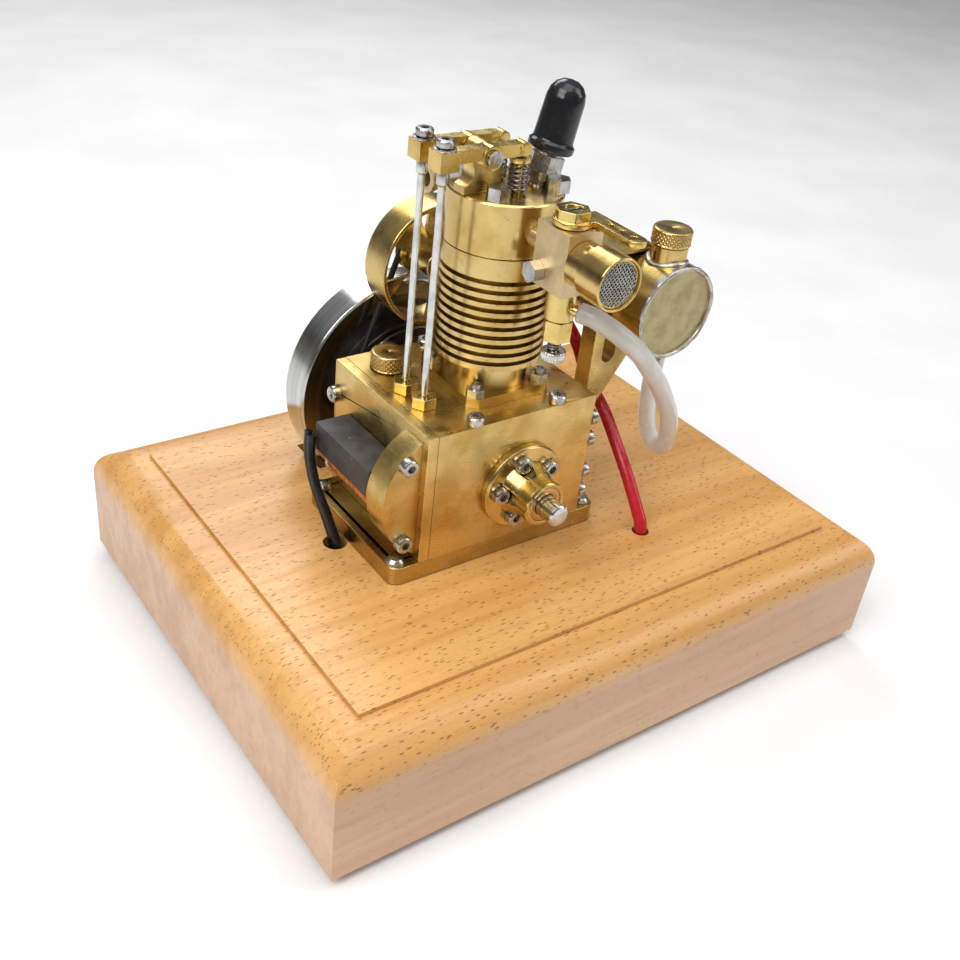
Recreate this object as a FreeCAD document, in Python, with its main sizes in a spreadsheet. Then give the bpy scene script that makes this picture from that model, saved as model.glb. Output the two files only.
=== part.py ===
import FreeCAD, Part
import math
import os

import Sketcher

# A model single-cylinder four-stroke engine on a wooden base.
# Millimetres. +Z is up, the output end of the crankshaft points to -Y.
# The origin is the centre of the footprint, on the plane the feet rest on.

SIZES = {
    # wooden base
    "base_length": 150,
    "base_width": 120,
    "base_height": 28,
    "base_round": 7.5,
    "panel_margin": 10.5,
    "foot_radius": 5,
    "foot_height": 2.5,
    "foot_inset": 11,
    "deck": 31.5,
    # crankcase
    "bed_thickness": 4.3,
    "case_left": -33.7,
    "case_right": 9.6,
    "case_front": -21,
    "case_back": 16.4,
    "case_height": 30.5,
    "side_plate": 2.5,
    "end_plate": 3,
    "top_plate": 2.7,
    # crank train
    "crank_x": -9,
    "crank_z": 49,
    "shaft_radius": 2.5,
    "throw": 7.5,
    "rod_length": 33.8,
    "bore_radius": 7,
    "cylinder_y": -4.6,
    "cam_x": -27.15,
    "gear_module": 0.76,
    "crank_teeth": 16,
    "cam_teeth": 32,
    # cylinder and head
    "fin_radius": 11.75,
    "fin_root": 8.8,
    "fin_pitch": 1.97,
    "fin_gap": 0.95,
    "fin_count": 10,
    "first_fin": 75.6,
    "barrel_top": 98.65,
    "head_radius": 11.9,
    "head_top": 109.85,
    # valve gear
    "intake_y": -8.6,
    "exhaust_y": -1.6,
    "valve_x": -9.4,
    "rocker_x": -17,
    "rocker_z": 117.6,
    "rod_wire": 0.75,
    "lash": 0.15,
    # flywheel and fan
    "flywheel_radius": 26.8,
    "flywheel_front": 27.5,
    "flywheel_width": 8.6,
    "fan_z": 84.25,
    "fan_front": 15.9,
    "fan_width": 7.9,
    "fan_radius": 14.1,
    "belt_y": 25.4,
    "belt_wire": 0.7,
    "fan_groove": 3.1,
    "crank_groove": 15,
    # carburettor, needle and tank
    "carb_x": -9.4,
    "carb_y": -25.8,
    "carb_bottom": 97.1,
    "carb_top": 109.56,
    "intake_z": 103.7,
    "throttle_radius": 2.25,
    "needle_x": -9.1,
    "nipple_z": 93.2,
    "tank_x": 30.5,
    "tank_z": 81.25,
    "tank_radius": 10.8,
    "tank_front": -20,
    "tank_length": 24,
    "neck_y": -14,
    "hose_radius": 2,
    "hose_bore": 1.4,
}

doc = FreeCAD.newDocument("Engine")
sheet = doc.addObject("Spreadsheet::Sheet", "Sizes")
nodes = []


class Size:
    """A number together with the spreadsheet formula that gives it."""

    def __init__(self, value, formula):
        self.value = float(value)
        self.formula = formula

    def __add__(self, other):
        other = as_size(other)
        return Size(self.value + other.value, f"({self.formula} + {other.formula})")

    def __sub__(self, other):
        other = as_size(other)
        return Size(self.value - other.value, f"({self.formula} - {other.formula})")

    def __mul__(self, other):
        other = as_size(other)
        return Size(self.value * other.value, f"({self.formula} * {other.formula})")

    def __truediv__(self, other):
        other = as_size(other)
        return Size(self.value / other.value, f"({self.formula} / {other.formula})")

    def __radd__(self, other):
        return as_size(other) + self

    def __rsub__(self, other):
        return as_size(other) - self

    def __rmul__(self, other):
        return as_size(other) * self

    def __neg__(self):
        return as_size(0) - self

    def bound(self):
        return "Sizes." in self.formula


class Table:
    """Reads a driving size by its name."""

    def __getattr__(self, name):
        return Size(SIZES[name], "Sizes." + name)


def as_size(amount):
    if isinstance(amount, Size):
        return amount
    return Size(amount, f"({float(amount)})")


s = Table()


def fill_sheet():
    for row, (name, amount) in enumerate(SIZES.items(), start=1):
        sheet.set(f"A{row}", name)
        sheet.set(f"B{row}", str(amount))
        sheet.setAlias(f"B{row}", name)
    doc.recompute()


# ---------------------------------------------------------------- helpers

TURN = {
    "z": FreeCAD.Rotation(),
    "x": FreeCAD.Rotation(FreeCAD.Vector(0, 1, 0), 90),
    "y": FreeCAD.Rotation(FreeCAD.Vector(1, 0, 0), -90),
    "-x": FreeCAD.Rotation(FreeCAD.Vector(0, 1, 0), -90),
    "-y": FreeCAD.Rotation(FreeCAD.Vector(1, 0, 0), 90),
    "-z": FreeCAD.Rotation(FreeCAD.Vector(1, 0, 0), 180),
}


def vector(x, y, z):
    return FreeCAD.Vector(as_size(x).value, as_size(y).value, as_size(z).value)


def bind(item, prop, amount):
    amount = as_size(amount)
    if amount.bound():
        item.setExpression(prop, amount.formula)


def put(item, x, y, z, turn="z"):
    rotation = TURN[turn] if isinstance(turn, str) else turn
    item.Placement = FreeCAD.Placement(vector(x, y, z), rotation)
    for axis, amount in zip("xyz", (x, y, z)):
        bind(item, "Placement.Base." + axis, amount)
    return item


def measure(item, **amounts):
    for prop, amount in amounts.items():
        setattr(item, prop, as_size(amount).value)
        bind(item, prop, amount)
    return item


def block(x0, x1, y0, y1, z0, z1):
    """A box between two corners."""
    item = doc.addObject("Part::Box", "block")
    low = [as_size(amount) for amount in (x0, y0, z0)]
    high = [as_size(amount) for amount in (x1, y1, z1)]
    span = [b - a for a, b in zip(low, high)]
    measure(item, Length=span[0], Width=span[1], Height=span[2])
    return put(item, *low)


def cylinder(radius, length, x, y, z, turn="z"):
    item = doc.addObject("Part::Cylinder", "cylinder")
    measure(item, Radius=radius, Height=length)
    return put(item, x, y, z, turn)


def cone(radius, end_radius, length, x, y, z, turn="z"):
    item = doc.addObject("Part::Cone", "cone")
    measure(item, Radius1=radius, Radius2=end_radius, Height=length)
    return put(item, x, y, z, turn)


def hexagon(flats, length, x, y, z, turn="z"):
    item = doc.addObject("Part::Prism", "hexagon")
    item.Polygon = 6
    measure(item, Circumradius=as_size(flats) / math.sqrt(3), Height=length)
    return put(item, x, y, z, turn)


def ball(radius, x, y, z):
    item = doc.addObject("Part::Sphere", "ball")
    measure(item, Radius=radius)
    return put(item, x, y, z)


def together(items):
    if len(items) == 1:
        return items[0]
    item = doc.addObject("Part::Compound", "set")
    item.Links = items
    return item


def cut(base, *tools):
    item = doc.addObject("Part::Cut", "cut")
    item.Base = base
    item.Tool = together(list(tools))
    return item


def fuse(*items):
    item = doc.addObject("Part::MultiFuse", "join")
    item.Shapes = list(items)
    item.Refine = True
    return item


def common(base, tool):
    item = doc.addObject("Part::Common", "common")
    item.Base = base
    item.Tool = tool
    return item


def solid(shape):
    """A shape that the ready-made features can't draw."""
    item = doc.addObject("Part::Feature", "shape")
    item.Shape = shape
    return item


def name(item, label):
    item.Label = label
    nodes.append(item)
    return item


def new_sketch(body, role):
    sketch = body.newObject("Sketcher::SketchObject", body.Name + "_sketch")
    plane = [f for f in body.Origin.OriginFeatures if f.Role == role][0]
    sketch.AttachmentSupport = [(plane, "")]
    sketch.MapMode = "FlatFace"
    return sketch


def polygon(sketch, points):
    """A closed outline whose corners are tied to the sheet."""
    points = [(as_size(a), as_size(b)) for a, b in points]
    count = len(points)
    corners = [FreeCAD.Vector(a.value, b.value, 0) for a, b in points]
    first = sketch.GeometryCount
    for i in range(count):
        line = Part.LineSegment(corners[i], corners[(i + 1) % count])
        sketch.addGeometry(line, False)
    for i in range(count):
        after = first + (i + 1) % count
        sketch.addConstraint(Sketcher.Constraint("Coincident", first + i, 2, after, 1))
    for i, pair in enumerate(points):
        for kind, amount in zip(("DistanceX", "DistanceY"), pair):
            rule = Sketcher.Constraint(kind, -1, 1, first + i, 1, amount.value)
            number = sketch.addConstraint(rule)
            bind(sketch, f"Constraints[{number}]", amount)


def padded(points, length, role="XY_Plane"):
    """A PartDesign body: one outline, padded along its plane's normal."""
    body = doc.addObject("PartDesign::Body", "body")
    sketch = new_sketch(body, role)
    polygon(sketch, points)
    pad = body.newObject("PartDesign::Pad", body.Name + "_pad")
    pad.Profile = sketch
    measure(pad, Length=length)
    body.Tip = pad
    return body


def turned(points, x, y, z, turn="z"):
    """A PartDesign body: a (radius, height) outline turned about its axis."""
    body = doc.addObject("PartDesign::Body", "body")
    sketch = new_sketch(body, "XZ_Plane")
    polygon(sketch, points)
    spin = body.newObject("PartDesign::Revolution", body.Name + "_turned")
    spin.Profile = sketch
    spin.ReferenceAxis = (sketch, ["V_Axis"])
    spin.Angle = 360
    body.Tip = spin
    return put(body, x, y, z, turn)


def rounded(body, keep, radius):
    """Fillets the edges of a body's tip that keep() accepts."""
    doc.recompute()
    base = body.Tip
    edges = [f"Edge{i}" for i, edge in enumerate(base.Shape.Edges, 1) if keep(edge)]
    fillet = body.newObject("PartDesign::Fillet", body.Name + "_round")
    fillet.Base = (base, edges)
    measure(fillet, Radius=radius)
    body.Tip = fillet
    return body


def rectangle(x0, x1, y0, y1):
    return [(x0, y0), (x1, y0), (x1, y1), (x0, y1)]


def tube(points, radius, bore=None):
    """A round pipe along straight runs that are joined by the widest arcs that fit."""
    corners = [vector(*point) for point in points]
    edges = []
    here = corners[0]
    for before, corner, after in zip(corners, corners[1:], corners[2:]):
        back, ahead = before - corner, after - corner
        half = back.getAngle(ahead) / 2
        if math.cos(half) < 0.001:
            continue
        reach = 0.49 * min(back.Length, ahead.Length)
        back.normalize()
        ahead.normalize()
        inward = (back + ahead).normalize()
        start, end = corner + back * reach, corner + ahead * reach
        bend = reach * math.tan(half)
        middle = corner + inward * (bend / math.sin(half) - bend)
        edges.append(Part.makeLine(here, start))
        edges.append(Part.Arc(start, middle, end).toShape())
        here = end
    edges.append(Part.makeLine(here, corners[-1]))
    path = Part.Wire(edges)

    def sweep(size):
        ring = Part.makeCircle(as_size(size).value, corners[0], corners[1] - corners[0])
        return path.makePipeShell([Part.Wire(ring)], True, False)

    shape = sweep(radius)
    if bore is not None:
        shape = shape.cut(sweep(bore))
    return solid(shape)


def coil(radius, wire, pitch, height, x, y, z):
    """A round-wire spring standing on its end."""
    helix = Part.makeHelix(pitch, height, radius)
    start = FreeCAD.Vector(radius, 0, 0)
    ring = Part.Wire(Part.makeCircle(wire, start, FreeCAD.Vector(0, 1, 0.12)))
    shape = Part.Wire(helix.Edges).makePipeShell([ring], True, True)
    return put(solid(shape), x, y, z)


def along(turn, distance):
    """The offset of a distance measured along a turn's direction."""
    return TURN[turn].multVec(FreeCAD.Vector(0, 0, distance))


def beyond(place, turn, distance):
    step = along(turn, distance)
    return [as_size(a) + b for a, b in zip(place, (step.x, step.y, step.z))]


def screw(place, turn, shank, head=1.9, tall=1.9, shank_radius=0.8):
    """A socket-head screw whose head stands on the face at place."""
    crown = [(0, 0), (head, 0), (head, tall - 0.3), (head - 0.3, tall), (0, tall)]
    top = turned(crown, *place, turn)
    socket = hexagon(head * 0.9, 1.3, *beyond(place, turn, tall - 1), turn)
    stem = cylinder(shank_radius, shank + 0.2, *beyond(place, turn, -shank), turn)
    return cut(fuse(top, stem), socket)


def hole(place, turn, depth, radius=0.85):
    """A drilled hole below the face at place."""
    return cylinder(radius, depth + 1, *beyond(place, turn, -depth), turn)


# ---------------------------------------------------------------- places

BOSS_ANGLES = [33, 105, 177, 249, 321]
BOSS_CIRCLE = 6.9
TOP_SCREWS = [(-21.5, -19.5), (-0.2, -19.5), (-21.5, 14.9), (-0.2, 14.9)]
RIGHT_SCREWS = [(-19.5, 59.9), (-19.5, 54.4), (-19.5, 46), (-19.5, 40.6)]
RIGHT_SCREWS += [(14.9, 59), (14.9, 49), (14.9, 40)]
LEFT_SCREWS = [(14.9, 58.6), (14.9, 40.5)]
HEAD_BOLTS = [(-15.6, -11), (-1, -11), (-15.6, 1.8), (-1, 1.8)]
STUD_OFFSET = 8.3
CARB_HALF_WIDTH = 4.03
CARB_FRONT, CARB_BACK = 4.72, 4.75
COVER_SCREWS = [(-37.15, 60.3), (-37.15, 41.3)]
BRACKET_SCREWS = [-12.2, -3.2]
FAN_SCREWS = [-14.4, -3.6]
FAN_FOOT = 2
FAN_BLADES = 5
BRACKET_FOOT = 2.5


def root(amount):
    return Size(math.sqrt(amount.value), f"sqrt({amount.formula})")


def cam_height():
    """The cam axis height that puts the two gears in mesh."""
    centres = s.gear_module * (s.crank_teeth + s.cam_teeth) / 2
    across = s.crank_x - s.cam_x
    return s.crank_z + root(centres * centres - across * across)


def case_top():
    return s.deck + s.bed_thickness + s.case_height


def boss_screw_places():
    turns = [math.radians(angle) for angle in BOSS_ANGLES]
    return [
        (s.crank_x + BOSS_CIRCLE * math.cos(turn), s.crank_z + BOSS_CIRCLE * math.sin(turn))
        for turn in turns
    ]


def screw_places():
    """Every socket screw: its place, the way its head points, its shank."""
    top = case_top()
    places = [((x, y, top), "z", 5.2) for x, y in TOP_SCREWS]
    places += [((s.case_right, y, z), "x", 5) for y, z in RIGHT_SCREWS]
    places += [((s.case_left, y, z), "-x", 5) for y, z in LEFT_SCREWS]
    places += [((x, s.case_front - 2, z), "-y", 4) for x, z in boss_screw_places()]
    places += [((x, -19, z), "-y", 1.2) for x, z in COVER_SCREWS]
    foot_face = s.case_right + BRACKET_FOOT
    places += [((foot_face, y, 49), "x", 4.5) for y in BRACKET_SCREWS]
    places += [((x, 10.7, top + FAN_FOOT), "z", 4) for x in FAN_SCREWS]
    return places


def drill(base, *extra):
    """Cuts every socket screw's hole, and any extra tools, out of a part."""
    holes = [hole(place, turn, depth) for place, turn, depth in screw_places()]
    return cut(base, *holes, *extra)


# ---------------------------------------------------------------- base

def wooden_base():
    x, y = s.base_length / 2, s.base_width / 2
    wood = padded(rectangle(-x, x, -y, y), s.base_height)
    top = SIZES["base_height"]
    rounded(wood, lambda edge: all(abs(v.Z - top) < 0.01 for v in edge.Vertexes), s.base_round)
    put(wood, 0, 0, s.foot_height)
    panel_x, panel_y = x - s.panel_margin, y - s.panel_margin
    panel_low = s.foot_height + s.base_height
    panel = block(-panel_x, panel_x, -panel_y, panel_y, panel_low - 2, s.deck)
    slot = block(s.crank_x - 22.5, s.crank_x + 22.5, 25.9, 37.7, 19, 33)
    lead = cylinder(2.7, 14, -42.6, -1.5, 20)
    red = cylinder(2, 14, 22.5, -30.1, 20)
    bed_holes = [cylinder(1.1, 10, x, y, 24) for x, y in bed_screw_places()]
    name(cut(fuse(wood, panel), slot, lead, red, *bed_holes), "wooden_base")


def rubber_feet():
    x = s.base_length / 2 - s.foot_inset
    y = s.base_width / 2 - s.foot_inset
    corners = [(x, y), (-x, y), (-x, -y), (x, -y)]
    feet = [cone(s.foot_radius - 0.6, s.foot_radius, s.foot_height, a, b, 0) for a, b in corners]
    name(together(feet), "rubber_feet")


def bed_screw_places():
    return [(-37.7, -18.2), (13.1, -18.2), (-37.7, 13.2), (13.1, 13.2)]


def bed_plate():
    outline = rectangle(s.case_left - 6.3, s.case_right + 5.9, s.case_front, s.case_back - 0.4)
    bed = padded(outline, s.bed_thickness)
    upright = lambda edge: abs(edge.tangentAt(edge.FirstParameter).z) > 0.99
    rounded(bed, upright, 2.5)
    put(bed, 0, 0, s.deck)
    holes = [cylinder(1.1, 8, x, y, s.deck - 1) for x, y in bed_screw_places()]
    name(cut(bed, *holes), "bed_plate")
    face = s.deck + s.bed_thickness
    dome = [(0, -7.5), (1.05, -7.5), (1.05, 0), (2.1, 0), (2, 0.6), (1.4, 1.2), (0, 1.45)]
    screws = [turned(dome, x, y, face) for x, y in bed_screw_places()]
    name(together(screws), "bed_plate_screws")


# ---------------------------------------------------------------- crankcase

def crankcase():
    low = s.deck + s.bed_thickness
    top = case_top()
    left, right = s.case_left + s.side_plate, s.case_right - s.side_plate
    front, back = s.case_front + s.end_plate, s.case_back - s.end_plate
    under = top - s.top_plate
    cam_z = cam_height()

    plate = block(left, right, s.case_front, front, low, under)
    main = cylinder(4.02, 10, s.crank_x, s.case_front - 3, s.crank_z, "y")
    cam = cylinder(2.62, 10, s.cam_x, front - 2, cam_z, "y")
    name(drill(plate, main, cam), "crankcase_front_plate")

    plate = block(left, right, back, s.case_back, low, under)
    main = cylinder(4.02, 10, s.crank_x, back - 3, s.crank_z, "y")
    cam = cylinder(2.62, 3, s.cam_x, back - 1, cam_z, "y")
    name(drill(plate, main, cam), "crankcase_rear_plate")

    plate = block(s.case_left, left, s.case_front, s.case_back, low, top)
    window = block(s.case_left - 1, left + 1, -17.6, -13.8, cam_z - 12.7, cam_z + 12.7)
    name(drill(plate, window), "crankcase_left_plate")

    plate = block(right, s.case_right, s.case_front, s.case_back, low, top)
    name(drill(plate), "crankcase_right_plate")

    plate = block(left, right, s.case_front, s.case_back, under, top)
    bore = cylinder(9.25, 6, s.crank_x, s.cylinder_y, under - 1)
    guides = [cylinder(2.02, 6, s.cam_x, y, under - 1) for y in (s.intake_y, s.exhaust_y)]
    filler = cylinder(2.1, 6, -25.1, 8.6, under - 1)
    studs = [cylinder(1.05, 6, x, y, under - 1) for x, y in stud_places()]
    gear_room = cylinder(13.2, 3.6, s.cam_x, -17.5, cam_z, "y")
    name(drill(plate, bore, filler, gear_room, *guides, *studs), "crankcase_top_plate")

    name(together([screw(*each) for each in screw_places()]), "socket_screws")


def stud_places():
    x, y = s.crank_x, s.cylinder_y
    return [(x + i * STUD_OFFSET, y + j * STUD_OFFSET) for i in (-1, 1) for j in (-1, 1)]


def bearings():
    front, back = s.case_front + s.end_plate, s.case_back - s.end_plate
    flange = [(4.02, 0), (10, 0), (10, 1.6), (9.6, 2), (6.6, 2), (5.2, 6.4), (5.2, 9.2)]
    flange += [(4.9, 9.5), (4.02, 9.5)]
    boss = turned(flange, s.crank_x, s.case_front, s.crank_z, "-y")
    heads = [cylinder(2.05, 9, x, s.case_front - 2, z, "-y") for x, z in boss_screw_places()]
    name(drill(boss, *heads), "front_bearing_boss")
    bush = [(2.54, 0), (4, 0), (4, 12.4), (2.54, 12.4)]
    rear = [(2.54, 0), (4, 0), (4, 4), (5, 4), (5, 5), (2.54, 5)]
    cam = [(1.54, 0), (2.6, 0), (2.6, 1.9), (1.54, 1.9)]
    cam_z = cam_height()
    parts = [
        turned(bush, s.crank_x, front, s.crank_z, "-y"),
        turned(rear, s.crank_x, back - 0.6, s.crank_z, "y"),
        turned(cam, s.cam_x, front, cam_z, "-y"),
        turned(cam, s.cam_x, back, cam_z, "y"),
    ]
    name(together(parts), "shaft_bearings")


def gear_cover():
    cam_z = cam_height()
    outer = cylinder(15.1, 6.5, s.cam_x, -19, cam_z, "y")
    keep = block(s.case_left - 12, s.case_left, -20, -12, cam_z - 15, cam_z + 15.1)
    room = cylinder(13.4, 3.6, s.cam_x, -17.5, cam_z, "y")
    name(drill(common(outer, keep), room), "gear_cover")


# ---------------------------------------------------------------- crank train

def gear(teeth, centre_x, centre_z, aim, y, width, bore):
    """A spur gear in the XZ plane with one tooth centred on the angle aim."""
    module = SIZES["gear_module"]
    pitch = module * teeth / 2
    base = pitch * math.cos(math.radians(20))
    tip, low = pitch + 0.92 * module, pitch - 1.2 * module
    slack = 0.07 / pitch
    half = math.pi / 2 / teeth - slack
    involute = lambda angle: math.tan(angle) - angle
    start = max(base, low)
    radii = [start + (tip - start) * i / 4 for i in range(5)]
    flank = []
    for radius in radii:
        turn = half + involute(math.radians(20)) - involute(math.acos(min(1, base / radius)))
        flank.append((radius, turn))
    points = []
    for tooth in range(teeth):
        middle = aim + 2 * math.pi * tooth / teeth
        side = [(low, flank[0][1] + 0.02)] + flank if low < start else flank
        points += [(radius, middle - turn) for radius, turn in side]
        points += [(radius, middle + turn) for radius, turn in reversed(side)]
    corners = [
        FreeCAD.Vector(centre_x + r * math.cos(a), y, centre_z + r * math.sin(a))
        for r, a in points
    ]
    face = Part.Face(Part.makePolygon(corners + corners[:1]))
    wheel = solid(face.extrude(FreeCAD.Vector(0, width, 0)))
    return cut(wheel, cylinder(bore, width + 2, centre_x, y - 1, centre_z, "y"))


def gears():
    crank_x, crank_z = SIZES["crank_x"], SIZES["crank_z"]
    cam_x, cam_z = SIZES["cam_x"], cam_height().value
    aim = math.atan2(cam_z - crank_z, cam_x - crank_x)
    small, large = SIZES["crank_teeth"], SIZES["cam_teeth"]
    name(gear(small, crank_x, crank_z, aim, -17.2, 2.9, 2.52), "crank_gear")
    gap = aim + math.pi + math.pi / large
    name(gear(large, cam_x, cam_z, gap, -17.2, 2.9, 1.52), "cam_gear")


def crankshaft():
    """Two halves. The crank pin stops short of the rod on both sides."""
    pin_z = s.crank_z + s.throw

    def web(y):
        disc = cylinder(8.5, 3, s.crank_x, y, s.crank_z, "y")
        arm = cylinder(3.4, 3, s.crank_x, y, pin_z, "y")
        return fuse(disc, arm)

    front_end, rear_end = -35.4, 38.6
    front = cylinder(s.shaft_radius, 26, s.crank_x, front_end + 0.4, s.crank_z, "y")
    nose = cone(s.shaft_radius - 0.4, s.shaft_radius, 0.4, s.crank_x, front_end, s.crank_z, "y")
    front_pin = cylinder(2, 1.5, s.crank_x, s.cylinder_y - 3.3, pin_z, "y")
    rear = cylinder(s.shaft_radius, rear_end - 0.5, s.crank_x, 0.5, s.crank_z, "y")
    rear_pin = cylinder(2, 1.5, s.crank_x, s.cylinder_y + 1.8, pin_z, "y")
    halves = [fuse(web(-10.6), front, nose, front_pin), fuse(web(-1.6), rear, rear_pin)]
    name(together(halves), "crankshaft")


def flywheel():
    """Steel rim, thin web and a belt pulley on the front of the web."""
    r = s.flywheel_radius
    width = s.flywheel_width
    groove = s.belt_y - s.flywheel_front
    front = -3.5
    outline = [(2.52, front), (16.2, front), (16.5, front + 0.3), (16.5, groove - 1)]
    outline += [(s.crank_groove, groove - 0.5), (s.crank_groove, groove + 0.5), (16.5, groove + 1)]
    outline += [(16.5, 2.2), (21.6, 2.2), (22, 0), (r - 0.5, 0), (r, 0.5), (r, width - 0.5)]
    outline += [(r - 0.5, width), (22, width), (21.6, 5.6), (7, 5.6), (7, width), (2.52, width)]
    name(turned(outline, s.crank_x, s.flywheel_front, s.crank_z, "y"), "flywheel")


def camshaft():
    cam_z = cam_height()
    parts = [cylinder(1.5, 32.9, s.cam_x, -19.7, cam_z, "y")]
    for side, y in ((-1, s.intake_y), (1, s.exhaust_y)):
        parts.append(cylinder(2, 3, s.cam_x, y - 1.5, cam_z, "y"))
        parts.append(cylinder(1.5, 3, s.cam_x + 2 * side, y - 1.5, cam_z, "y"))
    name(fuse(*parts), "camshaft")


def rod_and_piston():
    pin_z = s.crank_z + s.throw
    top_z = pin_z + s.rod_length
    y = s.cylinder_y - 1.5
    big = cylinder(3.4, 3, s.crank_x, y, pin_z, "y")
    small = cylinder(2.6, 3, s.crank_x, y, top_z, "y")
    bar = block(s.crank_x - 1.5, s.crank_x + 1.5, y + 0.3, y + 2.7, pin_z, top_z)
    eyes = [
        cylinder(2.05, 6, s.crank_x, y - 1, pin_z, "y"),
        cylinder(1.3, 6, s.crank_x, y - 1, top_z, "y"),
    ]
    name(cut(fuse(big, small, bar), *eyes), "connecting_rod")

    crown, skirt = 7.5, -6.5
    radius = s.bore_radius - 0.05
    outline = [(0, crown), (0, 4), (5.6, 4), (5.6, skirt), (radius, skirt)]
    for groove in (2.6, 5.2):
        outline += [(radius, groove), (6.2, groove), (6.2, groove + 1), (radius, groove + 1)]
    outline += [(radius, crown)]
    body = turned(outline, s.crank_x, s.cylinder_y, top_z)
    pin_hole = cylinder(1.27, 16, s.crank_x, s.cylinder_y - 8, top_z, "y")
    ring = [(6.22, 0.03), (radius, 0.03), (radius, 0.97), (6.22, 0.97)]
    rings = [turned(ring, s.crank_x, s.cylinder_y, top_z + groove) for groove in (2.6, 5.2)]
    pin = cylinder(1.25, 12.4, s.crank_x, s.cylinder_y - 6.2, top_z, "y")
    name(together([cut(body, pin_hole), *rings, pin]), "piston")


# ---------------------------------------------------------------- cylinder

def cylinder_barrel():
    low = case_top()
    r, deep = s.fin_radius, s.fin_root
    half = s.fin_gap / 2
    outline = [(8.2, low - s.top_plate), (9.2, low - s.top_plate), (9.2, low + 0.5), (9, low + 0.5)]
    outline += [(9, 74.4), (r, 74.4)]
    for i in range(SIZES["fin_count"]):
        middle = s.first_fin + 0.45 + s.fin_pitch * i
        outline += [(r, middle - half), (deep, middle - half)]
        outline += [(deep, middle + half), (r, middle + half)]
    outline += [(r, s.barrel_top), (s.bore_radius, s.barrel_top), (s.bore_radius, 69), (8.2, 68.2)]
    barrel = turned(outline, s.crank_x, s.cylinder_y, 0)
    half_side = 10.65
    corner = 2
    x, y = s.crank_x, s.cylinder_y
    steps = [(-1, -1), (1, -1), (1, 1), (-1, 1)]
    square = []
    for i, j in steps:
        first = (x + i * half_side, y + j * (half_side - corner))
        second = (x + i * (half_side - corner), y + j * half_side)
        square += [first, second] if i * j > 0 else [second, first]
    foot = put(padded(square, 2.3), 0, 0, low)
    bore = cylinder(8.6, 6, x, y, low - 1)
    studs = [cylinder(1.05, 6, a, b, low - 1) for a, b in stud_places()]
    bolts = [hole((a, b, s.barrel_top), "z", 4.2, 0.95) for a, b in HEAD_BOLTS]
    name(cut(fuse(barrel, cut(foot, bore)), *studs, *bolts), "cylinder_barrel")

    nuts = []
    for a, b in stud_places():
        nut = hexagon(3.6, 1.7, a, b, low + 2.3)
        stud = cylinder(1, 7.6, a, b, low - s.top_plate + 0.1)
        nuts.append(fuse(nut, stud))
    name(together(nuts), "cylinder_nuts")


def cylinder_head():
    low, top, r = s.barrel_top, s.head_top, s.head_radius
    outline = [
        (0, low + 2.2), (6.9, low + 2.2), (6.9, low), (r - 0.35, low), (r - 0.35, low + 0.35),
        (r, low + 0.35), (r, top - 0.4), (r - 0.4, top), (0, top),
    ]
    body = turned(outline, s.crank_x, s.cylinder_y, 0)
    tools = []
    for y in (s.intake_y, s.exhaust_y):
        tools.append(cylinder(0.8, 16, s.valve_x, y, low))
        tools.append(cylinder(1.8, 6, s.valve_x, y, low))
    tools += [hole((a, b, top), "z", 16, 0.95) for a, b in HEAD_BOLTS]
    port = cylinder(1.9, 12, -11, s.exhaust_y, 104.6, "y")
    intake = cylinder(1.7, 9, s.carb_x, -17.5, s.intake_z, "y")
    plug = doc.addObject("Part::Cylinder", "cylinder")
    measure(plug, Radius=2.05, Height=12)
    put(plug, *plug_place(-8), plug_turn())
    name(cut(body, *tools, port, intake, plug), "cylinder_head")

    bolts = []
    for a, b in HEAD_BOLTS:
        crown = hexagon(4.3, 2.6, a, b, top)
        bolts.append(fuse(crown, cylinder(0.9, 15.2, a, b, top - 15)))
    face, jet_y, jet_z = jet_place()
    crown = hexagon(3.8, 2.4, face, jet_y, jet_z, "-x")
    bolts.append(fuse(crown, cylinder(1, 4, face + 2, jet_y, jet_z, "-x")))
    name(together(bolts), "hex_bolts")


def jet_place():
    """The side face of the carburettor where the hex plug is screwed in."""
    return s.carb_x - CARB_HALF_WIDTH, -23, 100


def plug_turn():
    return FreeCAD.Rotation(FreeCAD.Vector(0, 1, 0), 13.4)


def plug_place(distance):
    """A point on the spark plug's axis, measured from the head's top."""
    lean = math.radians(13.4)
    x = -1.4 + distance * math.sin(lean)
    return x, -5.6, s.head_top + distance * math.cos(lean)


def spark_plug():
    foot = [(0, -6), (2, -6), (2, 0.75), (2.8, 0.75), (2.8, 2.3), (0, 2.3)]
    body = turned(foot, *plug_place(0), plug_turn())
    neck = [(0, 2.2), (2.9, 2.2), (2.9, 6.4), (1.9, 6.4), (1.9, 14), (0, 14)]
    top = turned(neck, *plug_place(0), plug_turn())
    nut = hexagon(6.4, 3.4, *plug_place(2.3), plug_turn())
    name(fuse(body, top, nut), "spark_plug")
    boot = [
        (2, 6.45), (4.3, 6.45), (4.7, 6.9), (4.7, 8), (4.2, 8.5), (4.1, 9), (3.95, 16.6),
        (3.6, 18.2), (2.8, 19.4), (1.5, 20.2), (0, 20.4), (0, 14.1), (2, 14.1),
    ]
    socket = cylinder(1.55, 3, *lead_end(3), lead_turn())
    name(cut(turned(boot, *plug_place(0), plug_turn()), socket), "spark_plug_boot")


def lead_turn():
    """Level, from the boot towards the back and the right."""
    return FreeCAD.Rotation(FreeCAD.Vector(0, 0, 1), FreeCAD.Vector(0.65, 0.76, 0))


def lead_end(distance):
    """A point on the red lead's last straight, measured from the boot's axis."""
    x, y, z = plug_place(11)
    step = lead_turn().multVec(FreeCAD.Vector(0, 0, distance))
    return x + step.x, y + step.y, z


# ---------------------------------------------------------------- valve gear

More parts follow.
